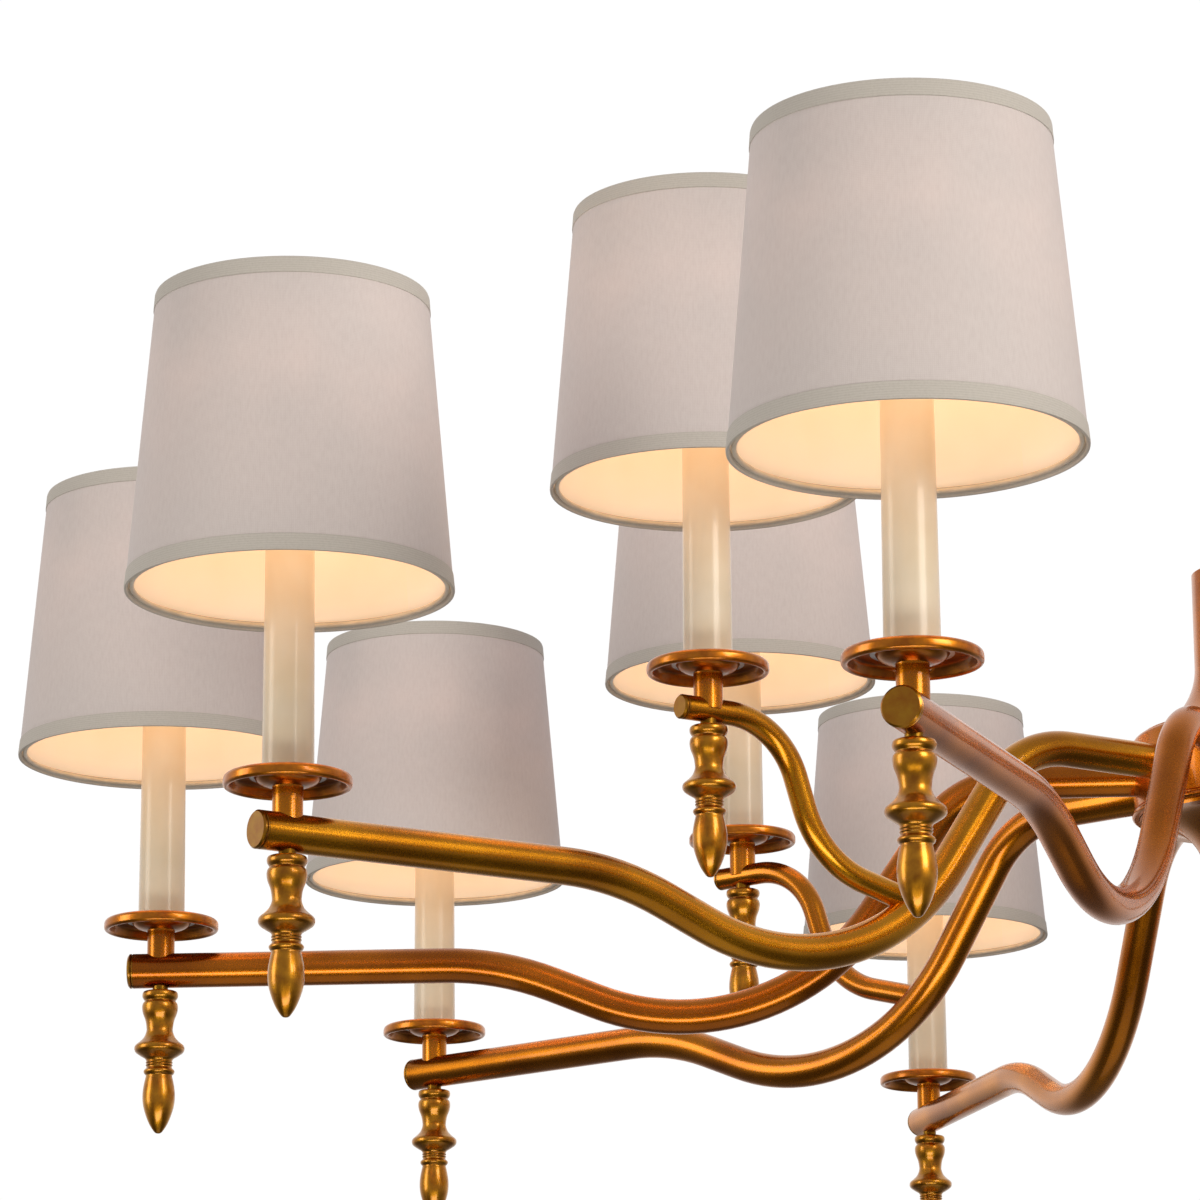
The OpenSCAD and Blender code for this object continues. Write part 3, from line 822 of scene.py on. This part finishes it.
@dataclass
class Arms:
    """Main arms and the branches that fork from every second one, in millimetres and degrees."""

    arm_d: float = 18.0
    branch_d: float = 12.0
    drum_r: float = 66.0
    dip_reach: float = 234.0
    arm_rise: float = 91.0
    arm_dip: float = 29.0
    arm_fall: float = 55.5
    arm_climb: float = 22.0
    hub_bend_r: float = 56.0
    dip_bend_r: float = 120.0
    lamp_bend_r: float = 150.0
    branch_reach: float = 42.0
    branch_root: float = 80.0
    branch_rise: float = 85.0
    branch_fall: float = 71.5
    branch_lift: float = 15.0
    branch_turn: float = 41.0
    branch_top_r: float = 40.0
    branch_foot_r: float = 50.0
    lamp_gap: float = 230.0
    tube_end: float = 13.5
    in_drum: float = 2.0
    crease_deg: float = 40.0
    # Tint of each arm: copies of one lacquer that stand in for the light and reflections each arm
    # catches, as painted light.
    light_tints: str = "GOLD COPPER AMBER AMBER AMBER COPPER GOLD COPPER GOLD AMBER"

    def arm_steps(self) -> list[Straight | Bend]:
        """Works out an arm's straights and bends from its sizes.

        Returns:
            The steps from just inside the drum to the lamp end.
        """
        fall, climb = math.radians(self.arm_fall), math.radians(self.arm_climb)
        dip = self.drum_r + self.dip_reach
        foot = (
            dip - self.dip_bend_r * math.sin(fall),
            -self.arm_dip + self.dip_bend_r * (1 - math.cos(fall)),
        )
        corner = foot[0] - (self.arm_rise - foot[1]) / math.tan(fall)
        hub_tangent = self.hub_bend_r * math.tan(fall / 2)
        out = (
            dip + self.dip_bend_r * math.sin(climb),
            -self.arm_dip + self.dip_bend_r * (1 - math.cos(climb)),
        )
        level = out[0] - out[1] / math.tan(climb)
        lamp_tangent = self.lamp_bend_r * math.tan(climb / 2)
        lamp_r = dip + self.branch_reach + self.lamp_gap
        return [
            Straight(corner - hub_tangent - self.drum_r + self.in_drum),
            Bend(self.hub_bend_r, -self.arm_fall),
            Straight((self.arm_rise - foot[1]) / math.sin(fall) - hub_tangent),
            Bend(self.dip_bend_r, self.arm_fall + self.arm_climb),
            Straight(-out[1] / math.sin(climb) - lamp_tangent),
            Bend(self.lamp_bend_r, -self.arm_climb),
            Straight(lamp_r + self.tube_end - level - lamp_tangent),
        ]

    def branch_start(self) -> tuple[float, float]:
        """Radius of a branch's root, and its height above the arm's lamp end."""
        angle = math.asin(self.branch_root / self.dip_bend_r)
        dip = self.drum_r + self.dip_reach
        return dip - self.branch_root, -self.arm_dip + self.dip_bend_r * (1 - math.cos(angle))

    def branch_steps(self) -> list[Straight | Bend]:
        """Works out a branch's straights and bends from its sizes.

        Returns:
            The steps from its root inside the arm to its lamp end.
        """
        fall, lift = math.radians(self.branch_fall), math.radians(self.branch_lift)
        root_r, root_z = self.branch_start()
        lamp_r = self.drum_r + self.dip_reach + self.branch_reach
        top_r = lamp_r - self.branch_turn
        foot_r = (
            root_z - root_r * math.tan(lift) - self.branch_rise + top_r * math.tan(fall)
        ) / (math.tan(fall) - math.tan(lift))
        top_tangent = self.branch_top_r * math.tan(fall / 2)
        foot_tangent = self.branch_foot_r * math.tan((fall - lift) / 2)
        return [
            Straight((foot_r - root_r) / math.cos(lift) - foot_tangent),
            Bend(self.branch_foot_r, self.branch_fall - self.branch_lift),
            Straight((top_r - foot_r) / math.cos(fall) - foot_tangent - top_tangent),
            Bend(self.branch_top_r, -self.branch_fall),
            Straight(self.branch_turn - top_tangent + self.tube_end),
        ]

    def tube_level(self) -> float:
        """Height of the arms' lamp ends, in metres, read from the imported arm."""
        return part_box("main_arm_1")[1][2] - (self.arm_rise + self.arm_d / 2) * MM

    def build(self) -> None:
        """Builds every arm and branch."""
        level = self.tube_level()
        light_tints = [GiltLightTint[name] for name in self.light_tints.split()]
        arm_start = ((self.drum_r - self.in_drum) * MM, 0, level + self.arm_rise * MM)
        at_hub = Matrix.Translation(arm_start)
        root_r, root_z = self.branch_start()
        tilt = Matrix.Rotation(-math.radians(self.branch_lift), 4, "Y")
        at_root = Matrix.Translation((root_r * MM, 0, level + root_z * MM)) @ tilt
        for i in range(ARM_COUNT):
            work = bmesh.new()
            bent_tube(work, self.arm_steps(), self.arm_d, 40)
            names = (f"arm_tube_{i + 1}", f"main_arm_{i + 1}")
            self.place(work, names, at_hub, i / ARM_COUNT, light_tints[i])
        for k in range(PAIR_COUNT):
            work = bmesh.new()
            bent_tube(work, self.branch_steps(), self.branch_d, 32)
            names = (f"branch_tube_{k + 1}", f"branch_arm_{k + 1}")
            self.place(work, names, at_root, k / PAIR_COUNT, light_tints[2 * k])

    def place(
        self, work: Work, names: tuple[str, str], start: Matrix, share: float, light_tint: GiltLightTint
    ) -> None:
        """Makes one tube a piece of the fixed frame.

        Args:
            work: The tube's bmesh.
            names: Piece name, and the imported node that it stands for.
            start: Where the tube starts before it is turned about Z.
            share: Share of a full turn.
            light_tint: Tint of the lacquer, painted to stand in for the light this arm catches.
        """
        turn = Matrix.Rotation(share * 2 * math.pi, 4, "Z")
        bmesh.ops.transform(work, matrix=turn @ start, verts=work.verts[:])
        piece = finish_object(names[0], work, [light_tint.finish()], self.crease_deg)
        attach(piece, FRAME_BODY)
        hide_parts(names[1])


def add_copy(work: Work, single: Work, place: Matrix) -> None:
    """Adds a moved copy of one bmesh to another.

    Args:
        work: Bmesh that gets the copy.
        single: Bmesh to copy.
        place: Where the copy goes.
    """
    spare = bpy.data.meshes.new("spare")
    single.to_mesh(spare)
    spare.transform(place)
    work.from_mesh(spare)
    bpy.data.meshes.remove(spare)


def repeated(
    names: tuple[str, str],
    single: Work,
    places: Sequence[Vector],
    finishes: Sequence[Finish],
    smooth_deg: float = 35.0,
) -> None:
    """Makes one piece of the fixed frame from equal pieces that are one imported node.

    Args:
        names: Piece name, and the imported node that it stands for.
        single: One of them at the origin, which is freed.
        places: Where each goes.
        finishes: Finishes in material order.
        smooth_deg: Edges sharper than this stay crisp.
    """
    whole = bmesh.new()
    for place in places:
        add_copy(whole, single, Matrix.Translation(place))
    single.free()
    piece = finish_object(names[0], whole, finishes, smooth_deg)
    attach(piece, FRAME_BODY)
    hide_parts(names[1])


def eased(keys: Outline, cuts: int = 4) -> Points:
    """Rounds an outline by a smooth curve through its points.

    Args:
        keys: Points of the outline.
        cuts: Stretches between two points.

    Returns:
        The points of the smooth outline.
    """
    points = [Vector(k) for k in keys]
    made = []
    for i in range(len(points) - 1):
        a, b = points[max(i - 1, 0)], points[i]
        c, d = points[i + 1], points[min(i + 2, len(points) - 1)]
        for step in range(cuts):
            t = step / cuts
            curve = (2 * a - 5 * b + 4 * c - d) * t**2 + (3 * b - a - 3 * c + d) * t**3
            spot = 0.5 * (2 * b + (c - a) * t + curve)
            made.append((max(spot.x, 0.0), spot.y))
    return made + [tuple(points[-1])]


@dataclass
class DripCups:
    """Open-bottomed cups with a rolled rim, a boss that sits on the neck and a pale washer."""

    cup_r: float = 29.7
    shoulder_r: float = 2.6
    rim_h: float = 6.0
    top: float = 7.5
    bead_r: float = 1.6
    hole_r: float = 4.4
    washer: Outline = ((14.4, 4.7), (17.6, 4.7), (17.6, 5.9), (14.4, 5.9), (14.4, 4.7))
    lift_to_shade: float = 92.0

    def outline(self) -> Points:
        """Outline of the cup, in millimetres above its lower edge."""
        bead = (self.cup_r - self.bead_r, self.bead_r)
        shoulder = (self.cup_r - self.shoulder_r, self.rim_h - self.shoulder_r)
        recess = eased([(25.9, 3.4), (25.0, 4.9), (23.0, 5.4), (17.5, 5.4), (15.4, 4.6)])
        boss = eased([(15.4, 4.6), (14.2, 2.9), (11.8, 1.4), (8.4, 0.4)])[1:]
        return (
            [(self.hole_r, self.top), (12.6, self.top), (14.0, self.top - 0.4)]
            + [(22.0, self.rim_h + 0.4)]
            + arc_points(shoulder, self.shoulder_r, 90, 0, 8)
            + arc_points(bead, self.bead_r, 0, -170, 9)
            + recess
            + boss
            + [(self.hole_r, 0.3), (self.hole_r, self.top)]
        )

    def build(self, lamps: Sequence[Vector]) -> None:
        """Builds all cups as one piece, given the middle of each shade's lower edge."""
        single = bmesh.new()
        spun(single, scaled(self.outline()), 72)
        for face in spun(single, scaled(self.washer), 48):
            face.material_index = 1
        drop = Vector((0, 0, self.lift_to_shade * MM))
        names = ("drip_cups_rolled", "drip_cups")
        repeated(names, single, [lamp - drop for lamp in lamps], [CUP_BRASS, WASHER])


@dataclass
class Finials:
    """Turned finials that hang under the tubes."""

    # fmt: off
    keys: Outline = (
        (4.3, 0.0), (8.2, -0.2), (9.2, -1.5), (9.1, -3.3), (8.2, -4.8), (8.1, -5.4),
        (9.0, -6.7), (9.3, -8.8), (8.8, -11.7), (7.5, -15.2), (6.9, -18.6), (6.9, -21.1),
        (8.1, -24.2), (10.3, -26.6), (12.5, -28.5), (13.0, -30.2), (12.3, -32.0), (9.8, -33.8),
        (7.4, -35.3), (6.7, -36.7), (7.0, -37.4), (6.6, -38.1), (7.0, -38.8), (6.6, -39.4),
        (6.8, -40.4), (7.8, -41.4), (8.0, -42.3), (7.5, -43.3), (6.8, -44.2), (7.3, -46.5),
        (8.1, -50.8), (8.4, -55.2), (8.0, -59.6), (6.7, -64.4), (4.8, -69.1), (2.5, -72.8),
        (1.2, -74.0), (0.0, -74.2),
    )
    # fmt: on
    bore_r: float = 4.3
    bore_depth: float = 14.0

    def build(self, tops: Sequence[Vector]) -> None:
        """Builds all finials as one piece, given the middle of each one's upper face."""
        single = bmesh.new()
        bore = [(0.0, -self.bore_depth), (self.bore_r, -self.bore_depth), (self.bore_r, 0.0)]
        spun(single, scaled(bore + eased(self.keys)), 56)
        repeated(("finials_turned", "finials"), single, tops, [BRASS], 50)


@dataclass
class CandleCovers:
    """Ivory covers that stand on the drip cups and hide the sockets."""

    foot_d: float = 24.0
    top_d: float = 22.6
    wall: float = 1.1
    height: float = 114.0
    lip: float = 0.5
    rows: int = 12
    lift_to_shade: float = 84.4

    def build(self, lamps: Sequence[Vector]) -> None:
        """Builds all covers as one piece, given the middle of each shade's lower edge."""
        foot, top, wall, h = self.foot_d / 2, self.top_d / 2, self.wall, self.height
        shares = [row / self.rows for row in range(1, self.rows)]
        outline = (
            [(foot - wall, 0), (foot - self.lip, 0), (foot, self.lip)]
            + [(foot + (top - foot) * share, h * share) for share in shares]
            + [(top, h - self.lip), (top - self.lip, h), (top - wall, h), (foot - wall, 0)]
        )
        single = bmesh.new()
        spun(single, scaled(outline), 48)
        add_height_uv(single, 0.0, h * MM)
        drop = Vector((0, 0, self.lift_to_shade * MM))
        names = ("candle_covers", "candle_sleeves")
        repeated(names, single, [lamp - drop for lamp in lamps], [IVORY])


@dataclass
class LampShade:
    """A tapered linen shade with taped edges on a wire frame that clips to the bulb."""

    bottom_r: float = 76.2
    top_r: float = 64.0
    height: float = 142.0
    tape_t: float = 0.5
    skin_t: float = 1.0
    tape_h: float = 8.0
    fold_share: float = 0.55
    wire_d: float = 2.4
    bulb_d: float = 34.0
    hub_r: float = 6.0
    bevel: float = 0.4
    hub_z: float = 113.4
    clip_low_z: float = 54.8
    clip_gap: float = 0.6
    spoke_deg: tuple[float, ...] = (60, 180, 300)
    clip_deg: tuple[float, ...] = (0, 90, 180, 270)
    seam_deg: float = 47.0
    edge_gap: float = 0.4
    sides: int = 96
    rows: int = 12

    def radius_at(self, z: float) -> float:
        """Outer radius at a height above the lower edge, in millimetres."""
        return self.bottom_r + (self.top_r - self.bottom_r) * z / self.height

    def add_flat_uv(self, work: Work) -> None:
        """Unrolls a shape from the seam: U runs round and V up, in metres."""
        layer = work.loops.layers.uv.verify()
        seam = math.radians(self.seam_deg)
        mean = (self.bottom_r + self.top_r) / 2 * MM
        for face in work.faces:
            middle = face.calc_center_median()
            base = (math.atan2(middle.y, middle.x) - seam) % (2 * math.pi)
            for loop in face.loops:
                co = loop.vert.co
                turn = (math.atan2(co.y, co.x) - seam) % (2 * math.pi)
                if turn - base > math.pi:
                    turn -= 2 * math.pi
                elif base - turn > math.pi:
                    turn += 2 * math.pi
                loop[layer].uv = (turn * mean, co.z)

    def add_linen(self, work: Work) -> None:
        """Adds the linen, a single skin until it is laminated."""
        low, high = self.edge_gap, self.height - self.edge_gap
        bmesh.ops.create_cone(
            work,
            cap_ends=False,
            segments=self.sides,
            radius1=(self.radius_at(low) - self.tape_t) * MM,
            radius2=(self.radius_at(high) - self.tape_t) * MM,
            depth=(high - low) * MM,
            matrix=Matrix.Translation((0, 0, self.height / 2 * MM)),
        )
        upright = [e for e in work.edges if len(e.link_faces) == 2]
        bmesh.ops.subdivide_edges(work, edges=upright, cuts=self.rows - 1)
        bmesh.ops.recalc_face_normals(work, faces=work.faces[:])
        self.add_flat_uv(work)

    def laminate(self, linen: Piece) -> None:
        """Thickens the linen inward, with the lining on its inner side."""
        wall = linen.modifiers.new("lamination", "SOLIDIFY")
        wall.thickness = self.skin_t * MM
        wall.offset = -1.0
        wall.material_offset = 1

    def add_tapes(self, work: Work) -> None:
        """Adds the two edging tapes, each folded over an edge."""
        tape, skin = self.tape_t, self.tape_t + self.skin_t
        inner = self.tape_h * self.fold_share
        # Each point: how far in from the edge its radius is read, how far inside that radius it
        # lies, and how far in from the edge it lies.
        section = (
            (self.tape_h, tape, self.tape_h),
            (self.tape_h, 0.1, self.tape_h - 0.15),
            (1.2, 0.0, 1.2),
            (0.0, 0.25, 0.3),
            (0.0, 0.9, 0.0),
            (0.0, skin + 0.1, 0.3),
            (1.2, skin + 0.4, 1.2),
            (inner, skin + 0.35, inner),
            (inner, skin - 0.1, inner + 0.2),
            (1.6, skin - 0.3, 1.6),
            (1.6, tape + 0.2, 1.6),
            (self.tape_h, tape, self.tape_h),
        )
        for edge, way in ((0.0, 1), (self.height, -1)):
            outline = [
                (self.radius_at(edge + way * read) - inset, edge + way * lift)
                for read, inset, lift in section
            ]
            spun(work, scaled(outline), self.sides)
        self.add_flat_uv(work)

    def add_wires(self, work: Work) -> None:
        """Adds the two rings, the spokes, the washer and the bulb clip."""
        wire = self.wire_d / 2
        inset = self.tape_t + self.skin_t + 0.5 + wire
        ring_z = {"low": self.wire_d, "high": self.height - self.wire_d}
        ring_r = {side: self.radius_at(z) - inset - 0.2 for side, z in ring_z.items()}
        for side, z in ring_z.items():
            spun(work, scaled(arc_points((ring_r[side], z), wire, 0, 360, 13)), 72)
        half = [(self.hub_r, wire - self.bevel), (self.hub_r - self.bevel, wire), (0, wire)]
        washer = [(r, self.hub_z - z) for r, z in reversed(half)]
        spun(work, scaled(washer + [(r, self.hub_z + z) for r, z in half]), 32)
        for angle in self.spoke_deg:
            self.add_spoke(work, angle, ring_r["high"], ring_z["high"])
        for angle in self.clip_deg:
            self.add_clip(work, angle)
        bmesh.ops.recalc_face_normals(work, faces=work.faces[:])

    def add_spoke(self, work: Work, degrees: float, run: float, ring_z: float) -> None:
        """Adds one spoke from the washer to the upper ring.

        Args:
            work: Bmesh to add to.
            degrees: Direction of the spoke.
            run: Radius of the upper ring.
            ring_z: Height of the upper ring.
        """
        rise = ring_z - self.hub_z
        length = math.hypot(run, rise)
        bmesh.ops.create_cone(
            work,
            cap_ends=True,
            segments=12,
            radius1=self.wire_d / 2 * MM,
            radius2=self.wire_d / 2 * MM,
            depth=length * MM,
            matrix=Matrix.Rotation(math.radians(degrees), 4, "Z")
            @ Matrix.Translation((run / 2 * MM, 0, (self.hub_z + rise / 2) * MM))
            @ Matrix.Rotation(math.atan2(run, rise), 4, "Y"),
        )

    def add_clip(self, work: Work, degrees: float) -> None:
        """Adds one wire of the bulb clip, bent down from the washer.

        Args:
            work: Bmesh to add to.
            degrees: Direction of the wire.
        """
        clip_r = self.bulb_d / 2 + self.clip_gap + self.wire_d / 2
        bow = clip_r - self.hub_r + 1
        clip = bmesh.new()
        steps = [Bend(bow, -90), Straight(self.hub_z - bow - self.clip_low_z)]
        bent_tube(clip, steps, self.wire_d, 12)
        start = Matrix.Translation(((clip_r - bow) * MM, 0, self.hub_z * MM))
        add_copy(work, clip, Matrix.Rotation(math.radians(degrees), 4, "Z") @ start)
        clip.free()

    def build(self, number: int, at: Vector) -> None:
        """Builds one shade.

        Args:
            number: Lamp number.
            at: Middle of its lower edge.
        """
        pieces = []
        for kind, add, finishes, crease_deg in (
            ("linen", self.add_linen, [LINEN, LINING], 35.0),
            ("tape", self.add_tapes, [TAPE], 50.0),
            ("wire", self.add_wires, [WIRE], 35.0),
        ):
            work = bmesh.new()
            add(work)
            bmesh.ops.translate(work, vec=at, verts=work.verts[:])
            piece = finish_object(f"shade_{kind}_{number}", work, finishes, crease_deg)
            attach(piece, f"shade_body_{number}")
            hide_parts(f"shade_{number}")
            pieces.append(piece)
        linen, tape, wire = pieces
        self.laminate(linen)


@dataclass
class Bulb:
    """A lit torpedo bulb with a ridged screw base."""

    base_d: float = 11.8
    base_h: float = 21.0
    thread_rise: float = 1.5
    thread_depth: float = 0.7
    glass_d: float = 34.0
    glass_h: float = 78.0
    belly: float = 0.42

    def glass_outline(self) -> Points:
        """Outline of the glass from neck to tip, in millimetres above the neck."""
        neck, wide = self.base_d / 2 + 0.8, self.glass_d / 2
        rise = self.belly * self.glass_h
        low_rows, high_rows = 14, 16
        low = [
            (neck + (wide - neck) * (1 - math.cos(math.pi * share)) / 2, rise * share)
            for share in (row / low_rows for row in range(low_rows))
        ]
        turns = [math.pi / 2 * row / high_rows for row in range(high_rows)]
        high = [(wide * math.cos(a), rise + (self.glass_h - rise) * math.sin(a)) for a in turns]
        return low + high + [(0, self.glass_h)]

    def build(self, number: int, foot: Vector) -> None:
        """Builds one bulb.

        Args:
            number: Lamp number.
            foot: Lowest point of the screw base.
        """
        work = bmesh.new()
        r, rise = self.base_d / 2, self.thread_rise
        threads = range(int((self.base_h - 4) / rise))
        ridges = [(r - (self.thread_depth if k % 2 else 0.0), 3 + k * rise) for k in threads]
        tip = [(0, 0), (3, 0), (3.4, 1), (r - self.thread_depth, 2.4)]
        neck = (r - 0.3, self.base_h)
        spun(work, scaled(tip + ridges + [neck]), 32)
        glass = [(radius, z + self.base_h) for radius, z in self.glass_outline()]
        for face in spun(work, scaled([neck] + glass), 40):
            face.material_index = 1
        add_height_uv(work, self.base_h * MM, (self.base_h + self.glass_h) * MM)
        bmesh.ops.translate(work, vec=foot, verts=work.verts[:])
        piece = finish_object(f"bulb_lit_{number}", work, [SCREW_BRASS, GLASS])
        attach(piece, f"bulb_body_{number}")
        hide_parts(f"bulb_{number}")


# ---------------------------------------------------------------- studio


@dataclass
class Viewpoint:
    """Camera that looks up at the lamps from in front and below."""

    distance: float = 2.60332
    below_cups: float = 0.5046
    cup_level: float = -0.21695
    station_deg: float = 266.276
    heading_deg: float = -3.81
    pitch_deg: float = 14.583
    roll_deg: float = -0.36
    lens_mm: float = 153.446
    sensor_mm: float = 36.0

    def build(self) -> None:
        """Places the camera and makes it the scene's."""
        station = math.radians(self.station_deg)
        yaw, pitch = math.radians(self.heading_deg), math.radians(self.pitch_deg)
        roll = math.radians(self.roll_deg)
        place = Vector(
            (
                self.distance * math.cos(station),
                self.distance * math.sin(station),
                self.cup_level - self.below_cups,
            )
        )
        ahead = Vector(
            (math.sin(yaw) * math.cos(pitch), math.cos(yaw) * math.cos(pitch), math.sin(pitch))
        )
        level = Vector((math.cos(yaw), -math.sin(yaw), 0))
        up = level.cross(ahead)
        right = level * math.cos(roll) + up * math.sin(roll)
        top = up * math.cos(roll) - level * math.sin(roll)
        data = bpy.data.cameras.new("viewpoint")
        data.lens = self.lens_mm
        data.sensor_width = self.sensor_mm
        data.clip_end = 60
        made = bpy.data.objects.new("viewpoint", data)
        frame = Matrix((right, top, -ahead)).transposed().to_4x4()
        made.matrix_world = Matrix.Translation(place) @ frame
        bpy.context.scene.collection.objects.link(made)
        bpy.context.scene.camera = made


@dataclass
class Studio:
    """Pale floor, soft boxes and a white surround."""

    floor_drop: float = 6.0
    floor_half_width: float = 3.0
    box_colour: str = "#fff6ea"
    aim_height: float = -0.15
    white_strength: float = 1.02
    underside_strength: float = 0.12
    boxes: tuple[tuple[str, tuple[float, float, float], tuple[float, float], float], ...] = (
        ("key_box", (2.4, -2.6, 1.3), (1.8, 1.8), 64.0),
        ("low_box", (-0.1, -2.2, -1.8), (2.8, 0.6), 22.0),
        ("left_box", (-2.8, -0.8, 0.3), (1.0, 1.8), 16.0),
    )

    def build(self, low: float) -> None:
        """Builds the floor, the soft boxes and the surround.

        Args:
            low: Height of the object's lowest point.
        """
        self.add_floor(low - self.floor_drop)
        for name, place, size, power in self.boxes:
            self.add_box(name, Vector(place), size, power)
        self.add_surround()

    def add_floor(self, height: float) -> None:
        """Adds the floor at a height."""
        work = bmesh.new()
        bmesh.ops.create_grid(work, x_segments=1, y_segments=1, size=self.floor_half_width)
        bmesh.ops.translate(work, vec=(0, 0, height), verts=work.verts[:])
        mesh = bpy.data.meshes.new("floor")
        work.to_mesh(mesh)
        work.free()
        mesh.materials.append(FLOOR.material())
        floor = bpy.data.objects.new("floor", mesh)
        bpy.context.scene.collection.objects.link(floor)
        floor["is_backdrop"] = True

    def add_box(self, name: str, place: Vector, size: tuple[float, float], power: float) -> None:
        """Adds one soft box that faces the lamps.

        Args:
            name: Light name.
            place: Where it stands.
            size: Width and height in metres.
            power: Power in watts.
        """
        data = bpy.data.lights.new(name, "AREA")
        data.shape = "RECTANGLE"
        data.size, data.size_y = size
        data.energy = power
        data.color = linear(self.box_colour)[:3]
        light = bpy.data.objects.new(name, data)
        aim = (Vector((0, 0, self.aim_height)) - place).to_track_quat("-Z", "Y")
        light.matrix_world = Matrix.Translation(place) @ aim.to_matrix().to_4x4()
        bpy.context.scene.collection.objects.link(light)

    def add_surround(self) -> None:
        """Adds a surround that is plain white to look at and graded as a light."""
        world = bpy.data.worlds.new("surround")
        bpy.context.scene.world = world
        world.use_nodes = True
        tree = world.node_tree
        tree.nodes.clear()
        nodes, way = Nodes(tree), add_node(tree, "ShaderNodeTexCoord").outputs["Generated"]
        back = nodes.spread(nodes.split(way, "Y"), given=(-1.0, 1.0))
        above = nodes.spread(nodes.split(way, "Z"), (self.underside_strength, 1.0), (-0.5, 0.05))
        tone = nodes.tones(
            back, (0.0, "#9c9690"), (0.5, "#aaa49e"), (0.8, "#e0dcda"), (1.0, "#ffffff")
        )
        light = {"Color": tone, "Strength": above}
        graded = add_node(tree, "ShaderNodeBackground", links=light)
        plain = add_node(tree, "ShaderNodeBackground", {"Strength": self.white_strength})
        plain.inputs["Color"].default_value = linear("#ffffff")
        ray = add_node(tree, "ShaderNodeLightPath")
        shown = {
            0: ray.outputs["Is Camera Ray"],
            1: graded.outputs["Background"],
            2: plain.outputs["Background"],
        }
        mix = add_node(tree, "ShaderNodeMixShader", links=shown)
        add_node(tree, "ShaderNodeOutputWorld", links={"Surface": mix.outputs["Shader"]})


# ---------------------------------------------------------------- assembly


@dataclass
class Chandelier:
    """The whole fixture, with each finial's depth below its shade in millimetres."""

    outer_drop: float = 92.0 + 11.8 + 18.0 + 1.8
    inner_drop: float = 92.0 + 11.8 + 12.0 + 1.8

    def lamp_feet(self) -> list[Vector]:
        """Middle of each shade's lower edge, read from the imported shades."""
        return [foot_of(f"shade_{number}") for number in range(1, LAMP_COUNT + 1)]

    def finial_tops(self, lamps: Sequence[Vector]) -> list[Vector]:
        """Middle of each finial's upper face, under its tube.

        Args:
            lamps: Middle of each shade's lower edge, main arms first.

        Returns:
            The places.
        """
        drops = [self.outer_drop] * ARM_COUNT + [self.inner_drop] * PAIR_COUNT
        return [lamp - Vector((0, 0, drop * MM)) for lamp, drop in zip(lamps, drops)]

    def build(self) -> None:
        """Builds the sub-assemblies in order."""
        # Gold, copper and amber are copies of one lacquer, tinted for how light falls on each
        # piece: painted light.
        gold, copper, amber = (
            light_tint.finish() for light_tint in (GiltLightTint.GOLD, GiltLightTint.COPPER, GiltLightTint.AMBER)
        )
        CarriedMetal(
            {
                "hang_loop": gold,
                "column_cap": copper,
                "column": copper,
                "hub_drum": copper,
                "lower_bell": amber,
                "bottom_finial": BRASS,
                "end_plugs": PLUG_BRASS,
                "necks": amber,
            }
        ).build()
        HiddenFittings(
            {
                "centre_pipe": STEEL,
                "lock_nuts": STEEL,
                "lamp_stems": PIPE,
                "lamp_sockets": PHENOLIC,
            }
        ).build()
        Arms().build()
        lamps = self.lamp_feet()
        CandleCovers().build(lamps)
        DripCups().build(lamps)
        Finials().build(self.finial_tops(lamps))
        shade, bulb = LampShade(), Bulb()
        for number, at in enumerate(lamps, 1):
            shade.build(number, at)
            bulb.build(number, foot_of(f"bulb_{number}"))


def main() -> None:
    """Builds the scene."""
    logging.basicConfig(level=logging.INFO)
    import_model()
    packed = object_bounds()
    Viewpoint().build()
    Chandelier().build()
    corners = [[float(v) for v in corner] for corner in packed]
    Studio().build(corners[0][2])
    bpy.context.scene.view_settings.view_transform = "Standard"
    bpy.context.view_layer.update()


if __name__ == "__main__":
    main()
